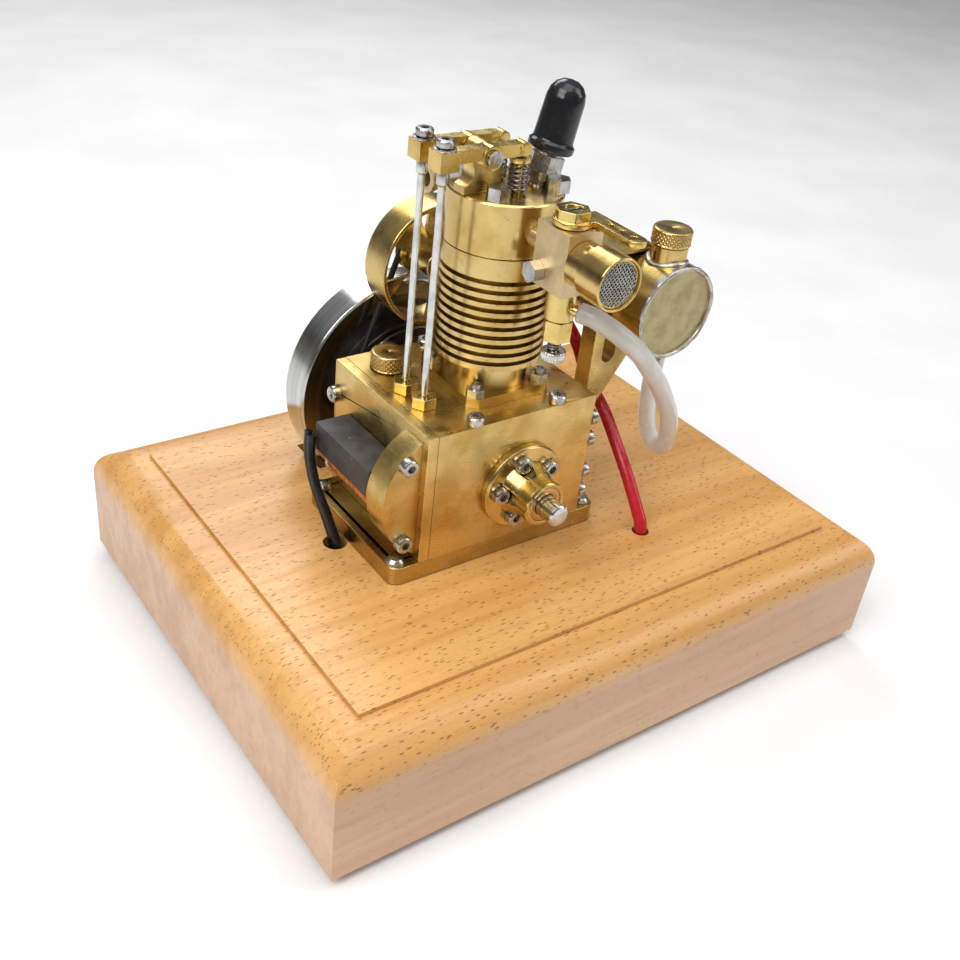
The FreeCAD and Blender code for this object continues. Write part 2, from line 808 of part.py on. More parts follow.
def rocker_parts():
    top = s.head_top
    x, z = s.rocker_x, s.rocker_z
    plate = block(x - 3.8, x + 5, -6.9, -3.3, top, z)
    crown = cylinder(2.4, 3.6, x, -6.9, z, "y")
    shoulder = block(x + 2.4, x + 6, -8, -2, z - 1.6, z + 3)
    hollow = cylinder(2.6, 6, x - 4.4, -8, top + 4, "y")
    left = block(x - 5, x - 2.4, -8, -2, top + 4, z + 3)
    bore = cylinder(1.27, 6, x, -8, z, "y")
    name(cut(fuse(cut(plate, shoulder, hollow, left), crown), bore), "rocker_pedestal")
    outline = [(0, 0.3), (1.6, 0.3), (1.6, 0.7), (1.25, 0.7), (1.25, 11.7), (2, 11.7), (2, 12.4), (0, 12.4)]
    name(turned(outline, x, -11.3, z, "y"), "rocker_shaft")

    for label, y in (("intake", s.intake_y), ("exhaust", s.exhaust_y)):
        bar = block(x - 10.4, s.valve_x - 0.2, y - 1.35, y + 1.35, z - 0.3, z + 2.2)
        pad = block(s.cam_x - 2.1, s.cam_x + 2.1, y - 2.1, y + 2.1, z - 1.5, z + 2.2)
        hub = cylinder(2.4, 3, x, y - 1.5, z, "y")
        tip = cylinder(1.35, 3, s.valve_x, y - 1.5, z + 1, "y")
        holes = [cylinder(1.29, 5, x, y - 2.5, z, "y"), cylinder(0.95, 8, s.cam_x, y, z - 3)]
        name(cut(fuse(bar, pad, hub, tip), *holes), label + "_rocker")
        outline = [
            (0, -1.65), (0.5, -1.65), (0.9, -1.3), (0.9, 2.2), (2.15, 2.2), (2.15, 2.7), (1.2, 2.7),
            (1.2, 2.9), (1.75, 2.9), (1.75, 4), (1.5, 4.3), (0, 4.3),
        ]
        stud = turned(outline, s.cam_x, y, z)
        name(cut(stud, hexagon(1.6, 2, s.cam_x, y, z + 3.1)), label + "_adjuster")
        lift = cam_height() + 3.6
        cup = z - 1.65 - s.lash
        outline = [
            (0, lift), (2.3, lift), (2.3, lift + 1.4), (1.5, lift + 1.6), (1.5, 61.5),
            (s.rod_wire, 62.2), (s.rod_wire, cup - 2.8), (1.15, cup - 2.3), (1.15, cup), (0, cup),
        ]
        name(turned(outline, s.cam_x, y, 0), label + "_pushrod")
        valve_parts(label, y)
    guide = []
    for y in (s.intake_y, s.exhaust_y):
        collar = hexagon(5, 2.5, s.cam_x, y, case_top())
        spigot = cylinder(2, 3, s.cam_x, y, case_top() - s.top_plate)
        guide.append(cut(fuse(collar, spigot), cylinder(0.8, 8, s.cam_x, y, case_top() - 4)))
    name(together(guide), "pushrod_guides")


def valve_parts(label, y):
    seat, end = s.barrel_top + 1.35, s.rocker_z - 0.45
    stem = [
        (0, seat), (2.3, seat), (2.3, seat + 0.5), (0.75, seat + 1.3), (0.75, end), (0, end),
    ]
    collar = [(0.77, end - 1.6), (1.5, end - 1.6), (2.1, end - 1.2)]
    collar += [(2.1, end - 0.2), (0.77, end - 0.2)]
    parts = [turned(stem, s.valve_x, y, 0), turned(collar, s.valve_x, y, 0)]
    name(together(parts), label + "_valve")
    low = SIZES["head_top"] + 0.33
    high = SIZES["rocker_z"] - 0.45 - 1.6 - 0.33
    name(coil(1.75, 0.28, (high - low) / 5.5, high - low, s.valve_x, y, low), label + "_valve_spring")


# ---------------------------------------------------------------- carburettor

def carburettor():
    x, y, z = s.carb_x, s.carb_y, s.intake_z
    low, top = s.carb_bottom, s.carb_top
    face = y - CARB_FRONT
    half = CARB_HALF_WIDTH
    body = block(x - half, x + half, face, y + CARB_BACK, low, top)
    spigot = cylinder(2.2, 9, x, y + 2, z, "y")
    plug_face, plug_y, plug_z = jet_place()
    tools = [
        cylinder(s.head_radius + 0.03, 60, s.crank_x, s.cylinder_y, 80),
        cylinder(s.throttle_radius + 0.05, 12, x, y, top - 10),
        cylinder(3.2, 3, x, face - 1, z, "y"),
        cylinder(1.6, 30, x, face - 1, z, "y"),
        cylinder(1.05, 3, plug_face + 2.1, plug_y, plug_z, "-x"),
        cylinder(0.8, 8, s.needle_x, y, low - 1),
    ]
    name(cut(fuse(body, spigot), *tools), "carburettor_body")

    outline = [
        (3.2, 0), (4.47, 0), (4.47, 4.04), (5.15, 4.04), (5.26, 4.2), (5.26, 10.5), (5.1, 10.68),
        (4.75, 10.68), (4.75, 9.6), (4.1, 9.6), (4.1, 4.8), (3.2, 4.4),
    ]
    name(turned(outline, x, face, z, "-y"), "intake_cup")
    mesh = turned([(0, 0), (4.7, 0), (4.7, 0.5), (0, 0.5)], x, face - 9.65, z, "-y")
    name(mesh, "intake_mesh")
    throttle(x, y, top)


def throttle(x, y, top):
    """The throttle barrel with its slotted top, and the lever and nut on it."""
    plate_low, plate, nut_tall = top + 0.1, 1.2, 1.9
    r = s.throttle_radius
    neck = 1.85
    end = plate + nut_tall - 0.25
    barrel = [(0, -9.8), (r, -9.8), (r, 0.8), (neck, 0.8), (neck, end), (0, end)]
    slot = block(x - 2.5, x + 2.5, y - 0.3, y + 0.3, top + end - 0.7, top + end + 1)
    bore = cylinder(1.6, 9, x, y - 4.5, s.intake_z, "y")
    name(cut(turned(barrel, x, y, top), slot, bore), "throttle_barrel")
    lever_x, lever_end, half = x + 4.8, y - 12.5, 1.95
    disc = cylinder(3.7, plate, x, y, plate_low)
    arm = block(lever_x - half, lever_x + half, lever_end, y - 1.8, plate_low, plate_low + plate)
    link = block(x, lever_x + half, y - 3.2, y + 1.3, plate_low, plate_low + plate)
    tip = cylinder(half, plate, lever_x, lever_end, plate_low)
    holes = [cylinder(0.57, 3, lever_x, y - each, plate_low - 1) for each in (5.5, 8.6, 11.7)]
    holes.append(cylinder(r + 0.03, 1.75, x, y, plate_low - 1))
    holes.append(cylinder(neck + 0.03, 6, x, y, plate_low - 1))
    nut = hexagon(6.1, nut_tall, x, y, plate_low + plate)
    name(cut(fuse(disc, arm, link, tip, nut), *holes), "throttle_lever")


def needle():
    x, y, low = s.needle_x, s.carb_y, s.carb_bottom
    outline = [(0, -7.1), (2.3, -7.1), (2.9, -6.4), (2.9, -0.9), (2.4, 0), (0, 0)]
    round_body = turned(outline, x, y, low)
    nut = hexagon(5.26, 4.2, x, y, low - 11)
    bore = cylinder(0.8, 14, x, y, low - 12)
    side = cylinder(1.02, 6, x, y, s.nipple_z, nipple_turn())
    name(cut(fuse(round_body, nut), bore, side), "needle_housing")
    knob = [
        (0, -15.5), (2.3, -15.5), (2.55, -15.2), (2.55, -13.8), (2.3, -13.5), (0.7, -13.5),
        (0.7, -1.2), (0, -0.2),
    ]
    spring = coil(1.15, 0.22, 0.75, 1.95, x, y, SIZES["carb_bottom"] - 13.25)
    name(together([turned(knob, x, y, low), spring]), "needle_knob")


def nipple_turn():
    """Level, towards the front and a little to the right."""
    return FreeCAD.Rotation(FreeCAD.Vector(0, 0, 1), FreeCAD.Vector(0.32, -0.95, 0))


def nipple_place(distance):
    """A point on the front nipple's axis, measured from the needle's axis."""
    step = nipple_turn().multVec(FreeCAD.Vector(0, 0, distance))
    return s.needle_x + step.x, s.carb_y + step.y, s.nipple_z


def nipple_outline(length):
    """A short pipe with three hose ridges at its end."""
    outline = [(0.6, 0), (1, 0)]
    for i in range(3):
        outline += [(1, length - 4 + i * 1.2), (1.2, length - 3.9 + i * 1.2), (1, length - 3.2 + i * 1.2)]
    outline += [(1, length), (0.6, length)]
    return outline


def fuel_line():
    front = turned(nipple_outline(5.2), *nipple_place(2.2), nipple_turn())
    tank_y = s.tank_front + 3.4
    lower = turned(nipple_outline(5), s.tank_x, tank_y, s.tank_z - 10.1, "-z")
    name(together([front, lower]), "fuel_nipples")
    path = [nipple_place(distance) for distance in (4.6, 6, 7.6)]
    path += [
        (-5.7, -35, 92.7), (-3.4, -36.9, 91), (1.5, -38.4, 86.8), (13.4, -34.8, 74.6),
        (23.9, -29.9, 62.2), (29.6, -26, 53), (32.3, -22.4, 48.1), (32.4, -18.8, 48.1),
        (31.2, -17, 52.6), (30.6, -16.6, 58.5),
    ]
    path += [(s.tank_x, tank_y, s.tank_z + drop) for drop in (-17, -15.2, -13.2, -10.95)]
    name(tube(path, s.hose_radius, s.hose_bore), "fuel_hose")


def fuel_tank():
    x, z, r = s.tank_x, s.tank_z, s.tank_radius
    length = s.tank_length
    inner = r - 0.9
    outline = [(0, 0.5), (inner, 0.5), (inner, 0), (r, 0), (r, length), (inner, length)]
    outline += [(inner, length - 0.5), (0, length - 0.5), (0, length - 1.3), (inner, length - 1.3)]
    outline += [(inner, 1.3), (0, 1.3)]
    shell = turned(outline, x, s.tank_front, z, "y")
    neck = cylinder(4.1, 5.2, x, s.neck_y, z + r - 2)
    inside = cylinder(inner, length - 2.6, x, s.tank_front + 1.3, z, "y")
    fill = cylinder(3.2, 14, x, s.neck_y, z + r - 6)
    drain = cylinder(1.02, 8, x, s.tank_front + 3.4, z - r - 4)
    name(cut(fuse(shell, neck), inside, fill, drain), "fuel_tank")
    top = r + 3.25
    cap = [(0, top - 2.4), (3.1, top - 2.4), (3.1, top), (4.2, top), (4.45, top + 0.3), (4.45, top + 3.4)]
    cap += [(4.2, top + 3.7), (0, top + 3.7)]
    name(turned(cap, x, s.neck_y, z), "tank_filler_cap")
    outline = [(0, -3.2), (2, -3.2), (2, 0), (3.9, 0), (4.1, 0.3), (4.1, 3.6), (3.8, 3.9), (0, 3.9)]
    name(turned(outline, -25.1, 8.6, case_top()), "oil_filler_cap")


def tank_bracket():
    """A strut from the crankcase, a web beside the tank and a flange on top."""
    foot_low, foot_high = 43.5, 54.5
    face = s.case_right + BRACKET_FOOT
    outline = [
        (s.case_right, foot_low), (face, foot_low), (29, 68.6), (29, 72), (19.5, 76), (19.5, 84),
        (17, 84), (17, 60.5), (face, foot_high), (s.case_right, foot_high),
    ]
    strut = put(padded(outline, 4.6, "XZ_Plane"), 0, -5.4, 0)
    foot = block(s.case_right, face, -14.4, -1, foot_low, foot_high)
    web = block(17, 19.2, -10, -3.5, 76, 93.7)
    web_top = s.tank_z + s.tank_radius
    flange = block(17, 29.5, -9.4, 2, web_top + 0.05, web_top + 1.65)
    rib = block(17, 19.2, -10, 2, 86, 93.7)
    tank = cylinder(s.tank_radius + 0.03, 30, s.tank_x, -25, s.tank_z, "y")
    neck = cylinder(4.2, 12, s.tank_x, s.neck_y, 88)
    slot = block(20, 23.8, -11, -4, 68.2, 72)
    slot_ends = [cylinder(1.9, 7, 21.9, -11, z, "y") for z in (68.2, 72)]
    name(drill(fuse(strut, foot, web, flange, rib), tank, neck, slot, *slot_ends), "tank_bracket")


# ---------------------------------------------------------------- wiring

def wiring():
    lead = [(22.5, -30.1, z) for z in (22, 29, 33)]
    lead += [
        (22.7, -22.5, 42.5), (24, -10, 53), (24, -5, 56), (22.5, -2.2, 61), (19.8, -1.4, 68),
        (13.5, 5, 80), (9, 7, 93), (8.8, 6.5, 106), (8.2, 3.6, 115),
    ]
    lead += [lead_end(distance) for distance in (7.5, 3.1)]
    name(tube(lead, 1.5), "ignition_lead")
    core = block(-42, -33.75, -12.3, 10, 49.6, 56.2)
    name(core, "pickup_core")
    winding = block(-40.6, -34.4, -10.5, 7, 45.6, 49.5)
    name(winding, "pickup_winding")
    leads = []
    for shift in (0, 2.15):
        entry_y = -0.4 - shift
        path = [(-42.6, entry_y, z) for z in (22, 27, 31.5)]
        path += [
            (-43.3, 3 - shift, 37.5), (-44 - 0.1 * shift, 7 - shift, 43),
            (-43.7 - 0.2 * shift, 10 - shift, 49), (-43 - 0.2 * shift, 10.9 - shift, 53.6),
        ]
        leads.append(tube(path, 0.95))
    name(together(leads), "pickup_leads")


# ---------------------------------------------------------------- fan, belt, exhaust

def fan():
    x, z = s.crank_x, s.fan_z
    front, width, r = s.fan_front, s.fan_width, s.fan_radius
    ring = [(r - 1, 0), (r, 0), (r, width), (r - 1, width)]
    groove = s.belt_y - front
    hub = [
        (1.25, 0), (3, 0), (3.2, 0.2), (3.2, width + 0.2), (4.6, width + 0.2),
        (4.6, groove - 1), (s.fan_groove, groove - 0.6), (s.fan_groove, groove + 0.6),
        (4.6, groove + 1), (4.6, groove + 1.4), (1.25, groove + 1.4),
    ]
    parts = [turned(ring, x, front, z, "y"), turned(hub, x, front, z, "y")]
    for i in range(FAN_BLADES):
        blade = doc.addObject("Part::Box", "block")
        measure(blade, Length=r - 3.4, Width=0.9, Height=9)
        angle = 360 * i / FAN_BLADES + 64
        about = FreeCAD.Rotation(FreeCAD.Vector(0, 1, 0), -angle)
        pitch = FreeCAD.Rotation(FreeCAD.Vector(1, 0, 0), 52)
        rotation = about.multiply(pitch)
        offset = rotation.multVec(FreeCAD.Vector(2.8, -0.45, -4.5))
        put(blade, x + offset.x, front + width / 2 + offset.y, z + offset.z, rotation)
        parts.append(blade)
    name(fuse(*parts), "fan_rotor")

    top = case_top()
    post = block(x - 3.2, x + 3.2, 10, 13, top, z)
    boss = cylinder(3.2, 3, x, 10, z, "y")
    foot = block(x - 7.6, x + 7.6, 8.6, 12.8, top, top + FAN_FOOT)
    body = fuse(post, boss, foot)
    axle = cylinder(1.2, 17.3, x, 10, z, "y")
    collar = cylinder(2, 0.5, x, 27.3 - 0.3, z, "y")
    name(drill(fuse(body, axle, collar)), "fan_bracket")


def belt():
    wide = SIZES["crank_groove"] + SIZES["belt_wire"] + 0.1
    small = SIZES["fan_groove"] + SIZES["belt_wire"] + 0.1
    x, low, high = SIZES["crank_x"], SIZES["crank_z"], SIZES["fan_z"]
    lean = math.asin((wide - small) / (high - low))

    def point(radius, height, angle):
        return FreeCAD.Vector(
            x + radius * math.cos(angle), SIZES["belt_y"], height + radius * math.sin(angle))

    right, left = lean, math.pi - lean
    low_left, low_right = point(wide, low, left), point(wide, low, right)
    high_left, high_right = point(small, high, left), point(small, high, right)
    edges = [
        Part.Arc(low_left, point(wide, low, -math.pi / 2), low_right).toShape(),
        Part.makeLine(low_right, high_right),
        Part.Arc(high_right, point(small, high, math.pi / 2), high_left).toShape(),
        Part.makeLine(high_left, low_left),
    ]
    path = Part.Wire(edges)
    start = low_left
    tangent = edges[0].tangentAt(edges[0].FirstParameter)
    ring = Part.Wire(Part.makeCircle(SIZES["belt_wire"], start, tangent))
    name(solid(path.makePipeShell([ring], True, True)), "drive_belt")


def exhaust():
    port = cylinder(3.2, 9, -11, 5, 106, "y")
    elbow = ball(3.4, -11, 11, 106.6)
    stub = cylinder(2.8, 6, -17.2, 11, 107, "x")
    rim = cylinder(3.1, 1.2, -17.6, 11, 107, "x")
    tools = [
        cylinder(s.head_radius + 0.03, 30, s.crank_x, s.cylinder_y, 90),
        cylinder(1.8, 8, -18, 11, 107, "x"),
        cylinder(1.8, 8, -11, 3, 106, "y"),
    ]
    name(cut(fuse(port, elbow, stub, rim), *tools), "exhaust_elbow")


# ---------------------------------------------------------------- build

def check():
    bad = [item.Label for item in doc.Objects if {"Invalid", "Error"} & set(item.State)]
    for item in nodes:
        if item.Shape.isNull() or not item.Shape.isValid():
            bad.append(item.Label)
    if bad:
        raise SystemExit("failed: " + ", ".join(bad))


def export():
    os.makedirs("parts", exist_ok=True)
    for item in nodes:
        item.Shape.exportStep(os.path.join("parts", item.Label + ".step"))


fill_sheet()
for make in (
    wooden_base, rubber_feet, bed_plate, crankcase, bearings, gear_cover, gears, crankshaft, flywheel,
    camshaft, rod_and_piston, cylinder_barrel, cylinder_head, spark_plug, rocker_parts, carburettor,
    needle, fuel_line, fuel_tank, tank_bracket, wiring, fan, belt, exhaust,
):
    make()
doc.recompute()
check()
export()
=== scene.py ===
import math

import bpy
from mathutils import Matrix, Quaternion, Vector


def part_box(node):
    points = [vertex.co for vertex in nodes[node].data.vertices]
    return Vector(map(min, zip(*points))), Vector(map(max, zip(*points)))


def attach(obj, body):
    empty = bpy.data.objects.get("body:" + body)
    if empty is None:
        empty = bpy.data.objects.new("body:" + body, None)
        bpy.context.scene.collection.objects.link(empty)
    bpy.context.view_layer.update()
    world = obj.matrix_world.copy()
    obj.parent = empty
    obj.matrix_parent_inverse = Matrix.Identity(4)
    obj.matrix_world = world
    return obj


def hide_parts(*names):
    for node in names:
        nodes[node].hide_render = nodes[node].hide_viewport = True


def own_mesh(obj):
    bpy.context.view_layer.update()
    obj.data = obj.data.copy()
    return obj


# A model single-cylinder petrol engine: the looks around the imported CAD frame.
# Sizes in this file are millimetres of the row frame; MM turns them into metres.

MM = 0.001
FULL = 2 * math.pi

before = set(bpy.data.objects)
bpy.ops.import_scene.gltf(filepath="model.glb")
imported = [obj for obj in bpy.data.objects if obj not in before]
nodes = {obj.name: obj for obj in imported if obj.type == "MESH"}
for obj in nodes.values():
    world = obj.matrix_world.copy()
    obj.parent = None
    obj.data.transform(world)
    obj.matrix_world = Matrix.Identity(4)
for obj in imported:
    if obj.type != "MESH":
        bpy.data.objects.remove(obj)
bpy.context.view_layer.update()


def limits(node):
    """A CAD node's lowest and highest corner, in millimetres."""
    low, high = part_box(node)
    return low / MM, high / MM


def middle(node):
    """The centre of a CAD node's box, in millimetres."""
    low, high = limits(node)
    return ((low + high) / 2).to_tuple()


# ---------------------------------------------------------------- materials

class Paint:
    """One procedural material. Its patterns are placed in millimetres.

    A socket is fed a number, a colour, a vector or another node's output.
    """

    def __init__(self, name):
        self.material = bpy.data.materials.new(name)
        self.material.use_nodes = True
        self.tree = self.material.node_tree
        self.tree.nodes.clear()
        coordinates = self.add("ShaderNodeTexCoord")
        self.place = self.scale(coordinates.outputs["Object"], (1 / MM, 1 / MM, 1 / MM))

    def add(self, kind, **settings):
        node = self.tree.nodes.new(kind)
        for key, value in settings.items():
            setattr(node, key, value)
        return node

    def feed(self, socket, value):
        if isinstance(value, bpy.types.NodeSocket):
            self.tree.links.new(value, socket)
        elif isinstance(value, tuple) and len(value) == 3 and socket.type == "RGBA":
            socket.default_value = (*value, 1)
        else:
            socket.default_value = value

    def scale(self, vector, factors):
        node = self.add("ShaderNodeVectorMath", operation="MULTIPLY")
        self.feed(node.inputs[0], vector)
        self.feed(node.inputs[1], factors)
        return node.outputs[0]

    def move(self, vector, offset):
        node = self.add("ShaderNodeVectorMath", operation="ADD")
        self.feed(node.inputs[0], vector)
        self.feed(node.inputs[1], offset)
        return node.outputs[0]

    def split(self, vector):
        node = self.add("ShaderNodeSeparateXYZ")
        self.feed(node.inputs[0], vector)
        return node.outputs

    def build(self, x, y, z):
        node = self.add("ShaderNodeCombineXYZ")
        for socket, value in zip(node.inputs, (x, y, z)):
            self.feed(socket, value)
        return node.outputs[0]

    def maths(self, operation, first, second=0.0):
        node = self.add("ShaderNodeMath", operation=operation)
        self.feed(node.inputs[0], first)
        self.feed(node.inputs[1], second)
        return node.outputs[0]

    def noise(self, size, vector=None, detail=3.0, roughness=0.5):
        """Smooth noise from 0 to 1 whose blobs are about size mm across."""
        node = self.add("ShaderNodeTexNoise")
        self.feed(node.inputs["Vector"], vector or self.place)
        node.inputs["Scale"].default_value = 1 / size
        node.inputs["Detail"].default_value = detail
        node.inputs["Roughness"].default_value = roughness
        return node.outputs[0]

    def cells(self, size, vector=None):
        """Distance to the nearest of many scattered points about size mm apart."""
        node = self.add("ShaderNodeTexVoronoi")
        self.feed(node.inputs["Vector"], vector or self.place)
        node.inputs["Scale"].default_value = 1 / size
        return node.outputs["Distance"]

    def band(self, value, low, high, start=0.0, end=1.0):
        """Maps low..high to start..end, smoothly, and holds the ends."""
        node = self.add("ShaderNodeMapRange", interpolation_type="SMOOTHSTEP")
        self.feed(node.inputs["Value"], value)
        for key, amount in (("From Min", low), ("From Max", high), ("To Min", start), ("To Max", end)):
            self.feed(node.inputs[key], amount)
        return node.outputs["Result"]

    def mix(self, share, first, second):
        """Colour first where share is 0, second where it is 1."""
        node = self.add("ShaderNodeMix", data_type="RGBA")
        self.feed(node.inputs[0], share)
        self.feed(node.inputs[6], first)
        self.feed(node.inputs[7], second)
        return node.outputs[2]

    def product(self, first, second):
        return self.maths("MULTIPLY", first, second)

    def inverse(self, value):
        """1 where value is 0, and 0 where it is 1."""
        return self.maths("SUBTRACT", 1.0, value)

    def bump(self, height, depth, below=None):
        """Relief: height 1 stands depth mm above height 0, on top of the relief below."""
        node = self.add("ShaderNodeBump")
        node.inputs["Distance"].default_value = depth * MM
        self.feed(node.inputs["Height"], height)
        if below is not None:
            self.feed(node.inputs["Normal"], below)
        return node.outputs[0]

    def crevice_shade(self, reach=0.6):
        """1 deep in the seams and corners between pieces, 0 on open faces: the mask of painted shade, from
        ambient occlusion.
        """
        open_share, shut_share = 0.62, 0.22
        node = self.add("ShaderNodeAmbientOcclusion")
        node.samples = 6
        node.inputs["Distance"].default_value = reach * MM
        return self.band(node.outputs["AO"], open_share, shut_share)

    def shine(self, **sockets):
        """Ends the material with a Principled surface."""
        surface = self.add("ShaderNodeBsdfPrincipled")
        for key, value in sockets.items():
            self.feed(surface.inputs[key.replace("_", " ")], value)
        output = self.add("ShaderNodeOutputMaterial")
        self.feed(output.inputs["Surface"], surface.outputs[0])
        return self.material


def radial(paint, centre, axis):
    """Distance from an axis and place along it, without the angle."""
    x, y, z = paint.split(paint.move(paint.place, tuple(-amount for amount in centre)))
    first, second, along = {"z": (x, y, z), "y": (z, x, y), "x": (y, z, x)}[axis]
    squares = paint.maths("ADD", paint.product(first, first), paint.product(second, second))
    return paint.maths("SQRT", squares), along


def lathe_rings(paint, centre, axis, size=0.16):
    """Fine rings round an axis, with the distance from it and the place along it."""
    distance, along = radial(paint, centre, axis)
    rings = paint.noise(size, paint.build(distance, along, 0.0), detail=2)
    return rings, distance, along


def tool_lines(paint, size, along, stretch):
    """Fine straight lines that run along one axis. stretch near 0 makes them long."""
    factors = {"x": (stretch, 1, 1), "y": (1, stretch, 1), "z": (1, 1, stretch)}[along]
    return paint.noise(size, paint.scale(paint.place, factors), detail=2)


BRASS_LIGHT = (0.68, 0.505, 0.20)
BRASS_WARM = (0.52, 0.355, 0.11)
BRASS_DARK = (0.27, 0.16, 0.055)
# painted shade: the dark colour laid into seams and corners
SEAM_SHADE = (0.045, 0.028, 0.012)
PIT = (0.10, 0.055, 0.02)


def brass_colour(paint, light=BRASS_LIGHT, warm=BRASS_WARM, tarnish=0.55):
    """Brass with soft patches, brown spots, dark pits and painted shade in its seams. Gives its pits too.
    """
    patches = paint.band(paint.noise(9, detail=4), 0.38, 0.66)
    colour = paint.mix(patches, light, warm)
    blotch = paint.band(paint.noise(2.4, detail=6, roughness=0.65), 0.60, 0.80)
    colour = paint.mix(paint.product(blotch, tarnish), colour, BRASS_DARK)
    chosen = paint.band(paint.noise(1.7, detail=1), 0.50, 0.62)
    pit = paint.product(paint.band(paint.cells(0.9), 0.16, 0.06), chosen)
    colour = paint.mix(paint.product(pit, 0.75), colour, PIT)
    # painted shade: darker in the seams and corners between pieces
    return paint.mix(paint.product(paint.crevice_shade(), 0.85), colour, SEAM_SHADE), pit


def machined_brass(name="milled_brass", along="x", light=BRASS_LIGHT, warm=BRASS_WARM, rough=0.30):
    """Milled plate: fine straight tool lines, soft patches and pits."""
    paint = Paint(name)
    colour, pit = brass_colour(paint, light, warm)
    lines = tool_lines(paint, 0.22, along, 0.05)
    smear = paint.noise(5, detail=3)
    roughness = paint.band(smear, 0.3, 0.7, rough - 0.06, rough + 0.12)
    roughness = paint.maths("ADD", roughness, paint.band(lines, 0.35, 0.65, -0.03, 0.05))
    relief = paint.bump(lines, 0.010)
    relief = paint.bump(paint.noise(0.45, detail=3), 0.010, relief)
    relief = paint.bump(paint.inverse(pit), 0.05, relief)
    return paint.shine(Base_Color=colour, Metallic=1.0, Roughness=roughness, Normal=relief)


def turned_brass(name, centre, axis="z", light=BRASS_LIGHT, warm=BRASS_WARM, rough=0.20):
    """Lathe-turned: rings round the axis, slightly uneven polish."""
    paint = Paint(name)
    colour, pit = brass_colour(paint, light, warm, 0.35)
    rings = lathe_rings(paint, centre, axis)[0]
    smear = paint.noise(3.5, detail=4)
    roughness = paint.band(smear, 0.3, 0.7, rough - 0.03, rough + 0.08)
    relief = paint.bump(rings, 0.007)
    relief = paint.bump(paint.inverse(pit), 0.03, relief)
    return paint.shine(Base_Color=colour, Metallic=1.0, Roughness=roughness, Normal=relief)


def finned_brass(centre):
    """The barrel: turned brass, a little rougher than the other turned pieces."""
    paint = Paint("finned_brass")
    colour = brass_colour(paint, (0.68, 0.50, 0.21), (0.54, 0.37, 0.12), 0.5)[0]
    relief = paint.bump(lathe_rings(paint, centre, "z")[0], 0.012)
    relief = paint.bump(paint.noise(0.5, detail=3), 0.012, relief)
    return paint.shine(Base_Color=colour, Metallic=1.0, Roughness=0.27, Normal=relief)


def blasted_brass(name="blasted_brass", light=(0.72, 0.57, 0.33), warm=(0.60, 0.46, 0.25)):
    """Bead-blasted block: fine grain, dark specks and painted shade in its seams."""
    paint = Paint(name)
    patches = paint.band(paint.noise(4, detail=3), 0.35, 0.65)
    colour = paint.mix(patches, light, warm)
    chosen = paint.band(paint.noise(1.1), 0.48, 0.60)
    speck = paint.product(paint.band(paint.cells(0.55), 0.22, 0.10), chosen)
    colour = paint.mix(paint.product(speck, 0.7), colour, (0.12, 0.065, 0.02))
    # painted shade: darker in the seams and corners
    colour = paint.mix(paint.product(paint.crevice_shade(), 0.85), colour, SEAM_SHADE)
    grain = paint.noise(0.12, detail=2)
    relief = paint.bump(grain, 0.016)
    relief = paint.bump(paint.inverse(speck), 0.03, relief)
    roughness = paint.band(grain, 0.3, 0.7, 0.36, 0.5)
    return paint.shine(Base_Color=colour, Metallic=1.0, Roughness=roughness, Normal=relief)


def steel(name, bright=(0.54, 0.53, 0.51), dull=(0.34, 0.33, 0.32), rough=0.24, grime=0.5, along="z"):
    """Turned or ground steel with fine scratches, oily marks and painted shade in its seams."""
    paint = Paint(name)
    patches = paint.band(paint.noise(3, detail=4), 0.35, 0.7)
    colour = paint.mix(patches, bright, dull)
    marks = paint.band(paint.noise(0.9, detail=5, roughness=0.6), 0.60, 0.76)
    colour = paint.mix(paint.product(marks, grime), colour, (0.10, 0.085, 0.07))
    lines = tool_lines(paint, 0.12, along, 0.06)
    # painted shade: near black in the seams and corners
    colour = paint.mix(paint.product(paint.crevice_shade(0.4), 0.8), colour, (0.03, 0.025, 0.02))
    roughness = paint.band(lines, 0.3, 0.7, rough - 0.05, rough + 0.08)
    relief = paint.bump(lines, 0.008)
    return paint.shine(Base_Color=colour, Metallic=1.0, Roughness=roughness, Normal=relief)


def flywheel_steel(centre, rim):
    """Polished rim with lathe rings; the recessed web is dark."""
    rim_width = 4.6
    paint = Paint("flywheel_steel")
    rings, distance, along = lathe_rings(paint, centre, "y")
    broad = paint.noise(1.6, paint.build(distance, along, 0.0), detail=2)
    web = paint.band(distance, rim - rim_width, rim - rim_width - 0.4)
    bright = paint.mix(paint.band(broad, 0.35, 0.65), (0.60, 0.60, 0.59), (0.48, 0.48, 0.47))
    stain = paint.band(paint.noise(6, detail=5), 0.45, 0.75)
    dark = paint.mix(stain, (0.20, 0.19, 0.185), (0.09, 0.08, 0.075))
    colour = paint.mix(web, bright, dark)
    roughness = paint.band(web, 0, 1, 0.17, 0.34)
    relief = paint.bump(rings, 0.010)
    return paint.shine(Base_Color=colour, Metallic=1.0, Roughness=roughness, Normal=relief)


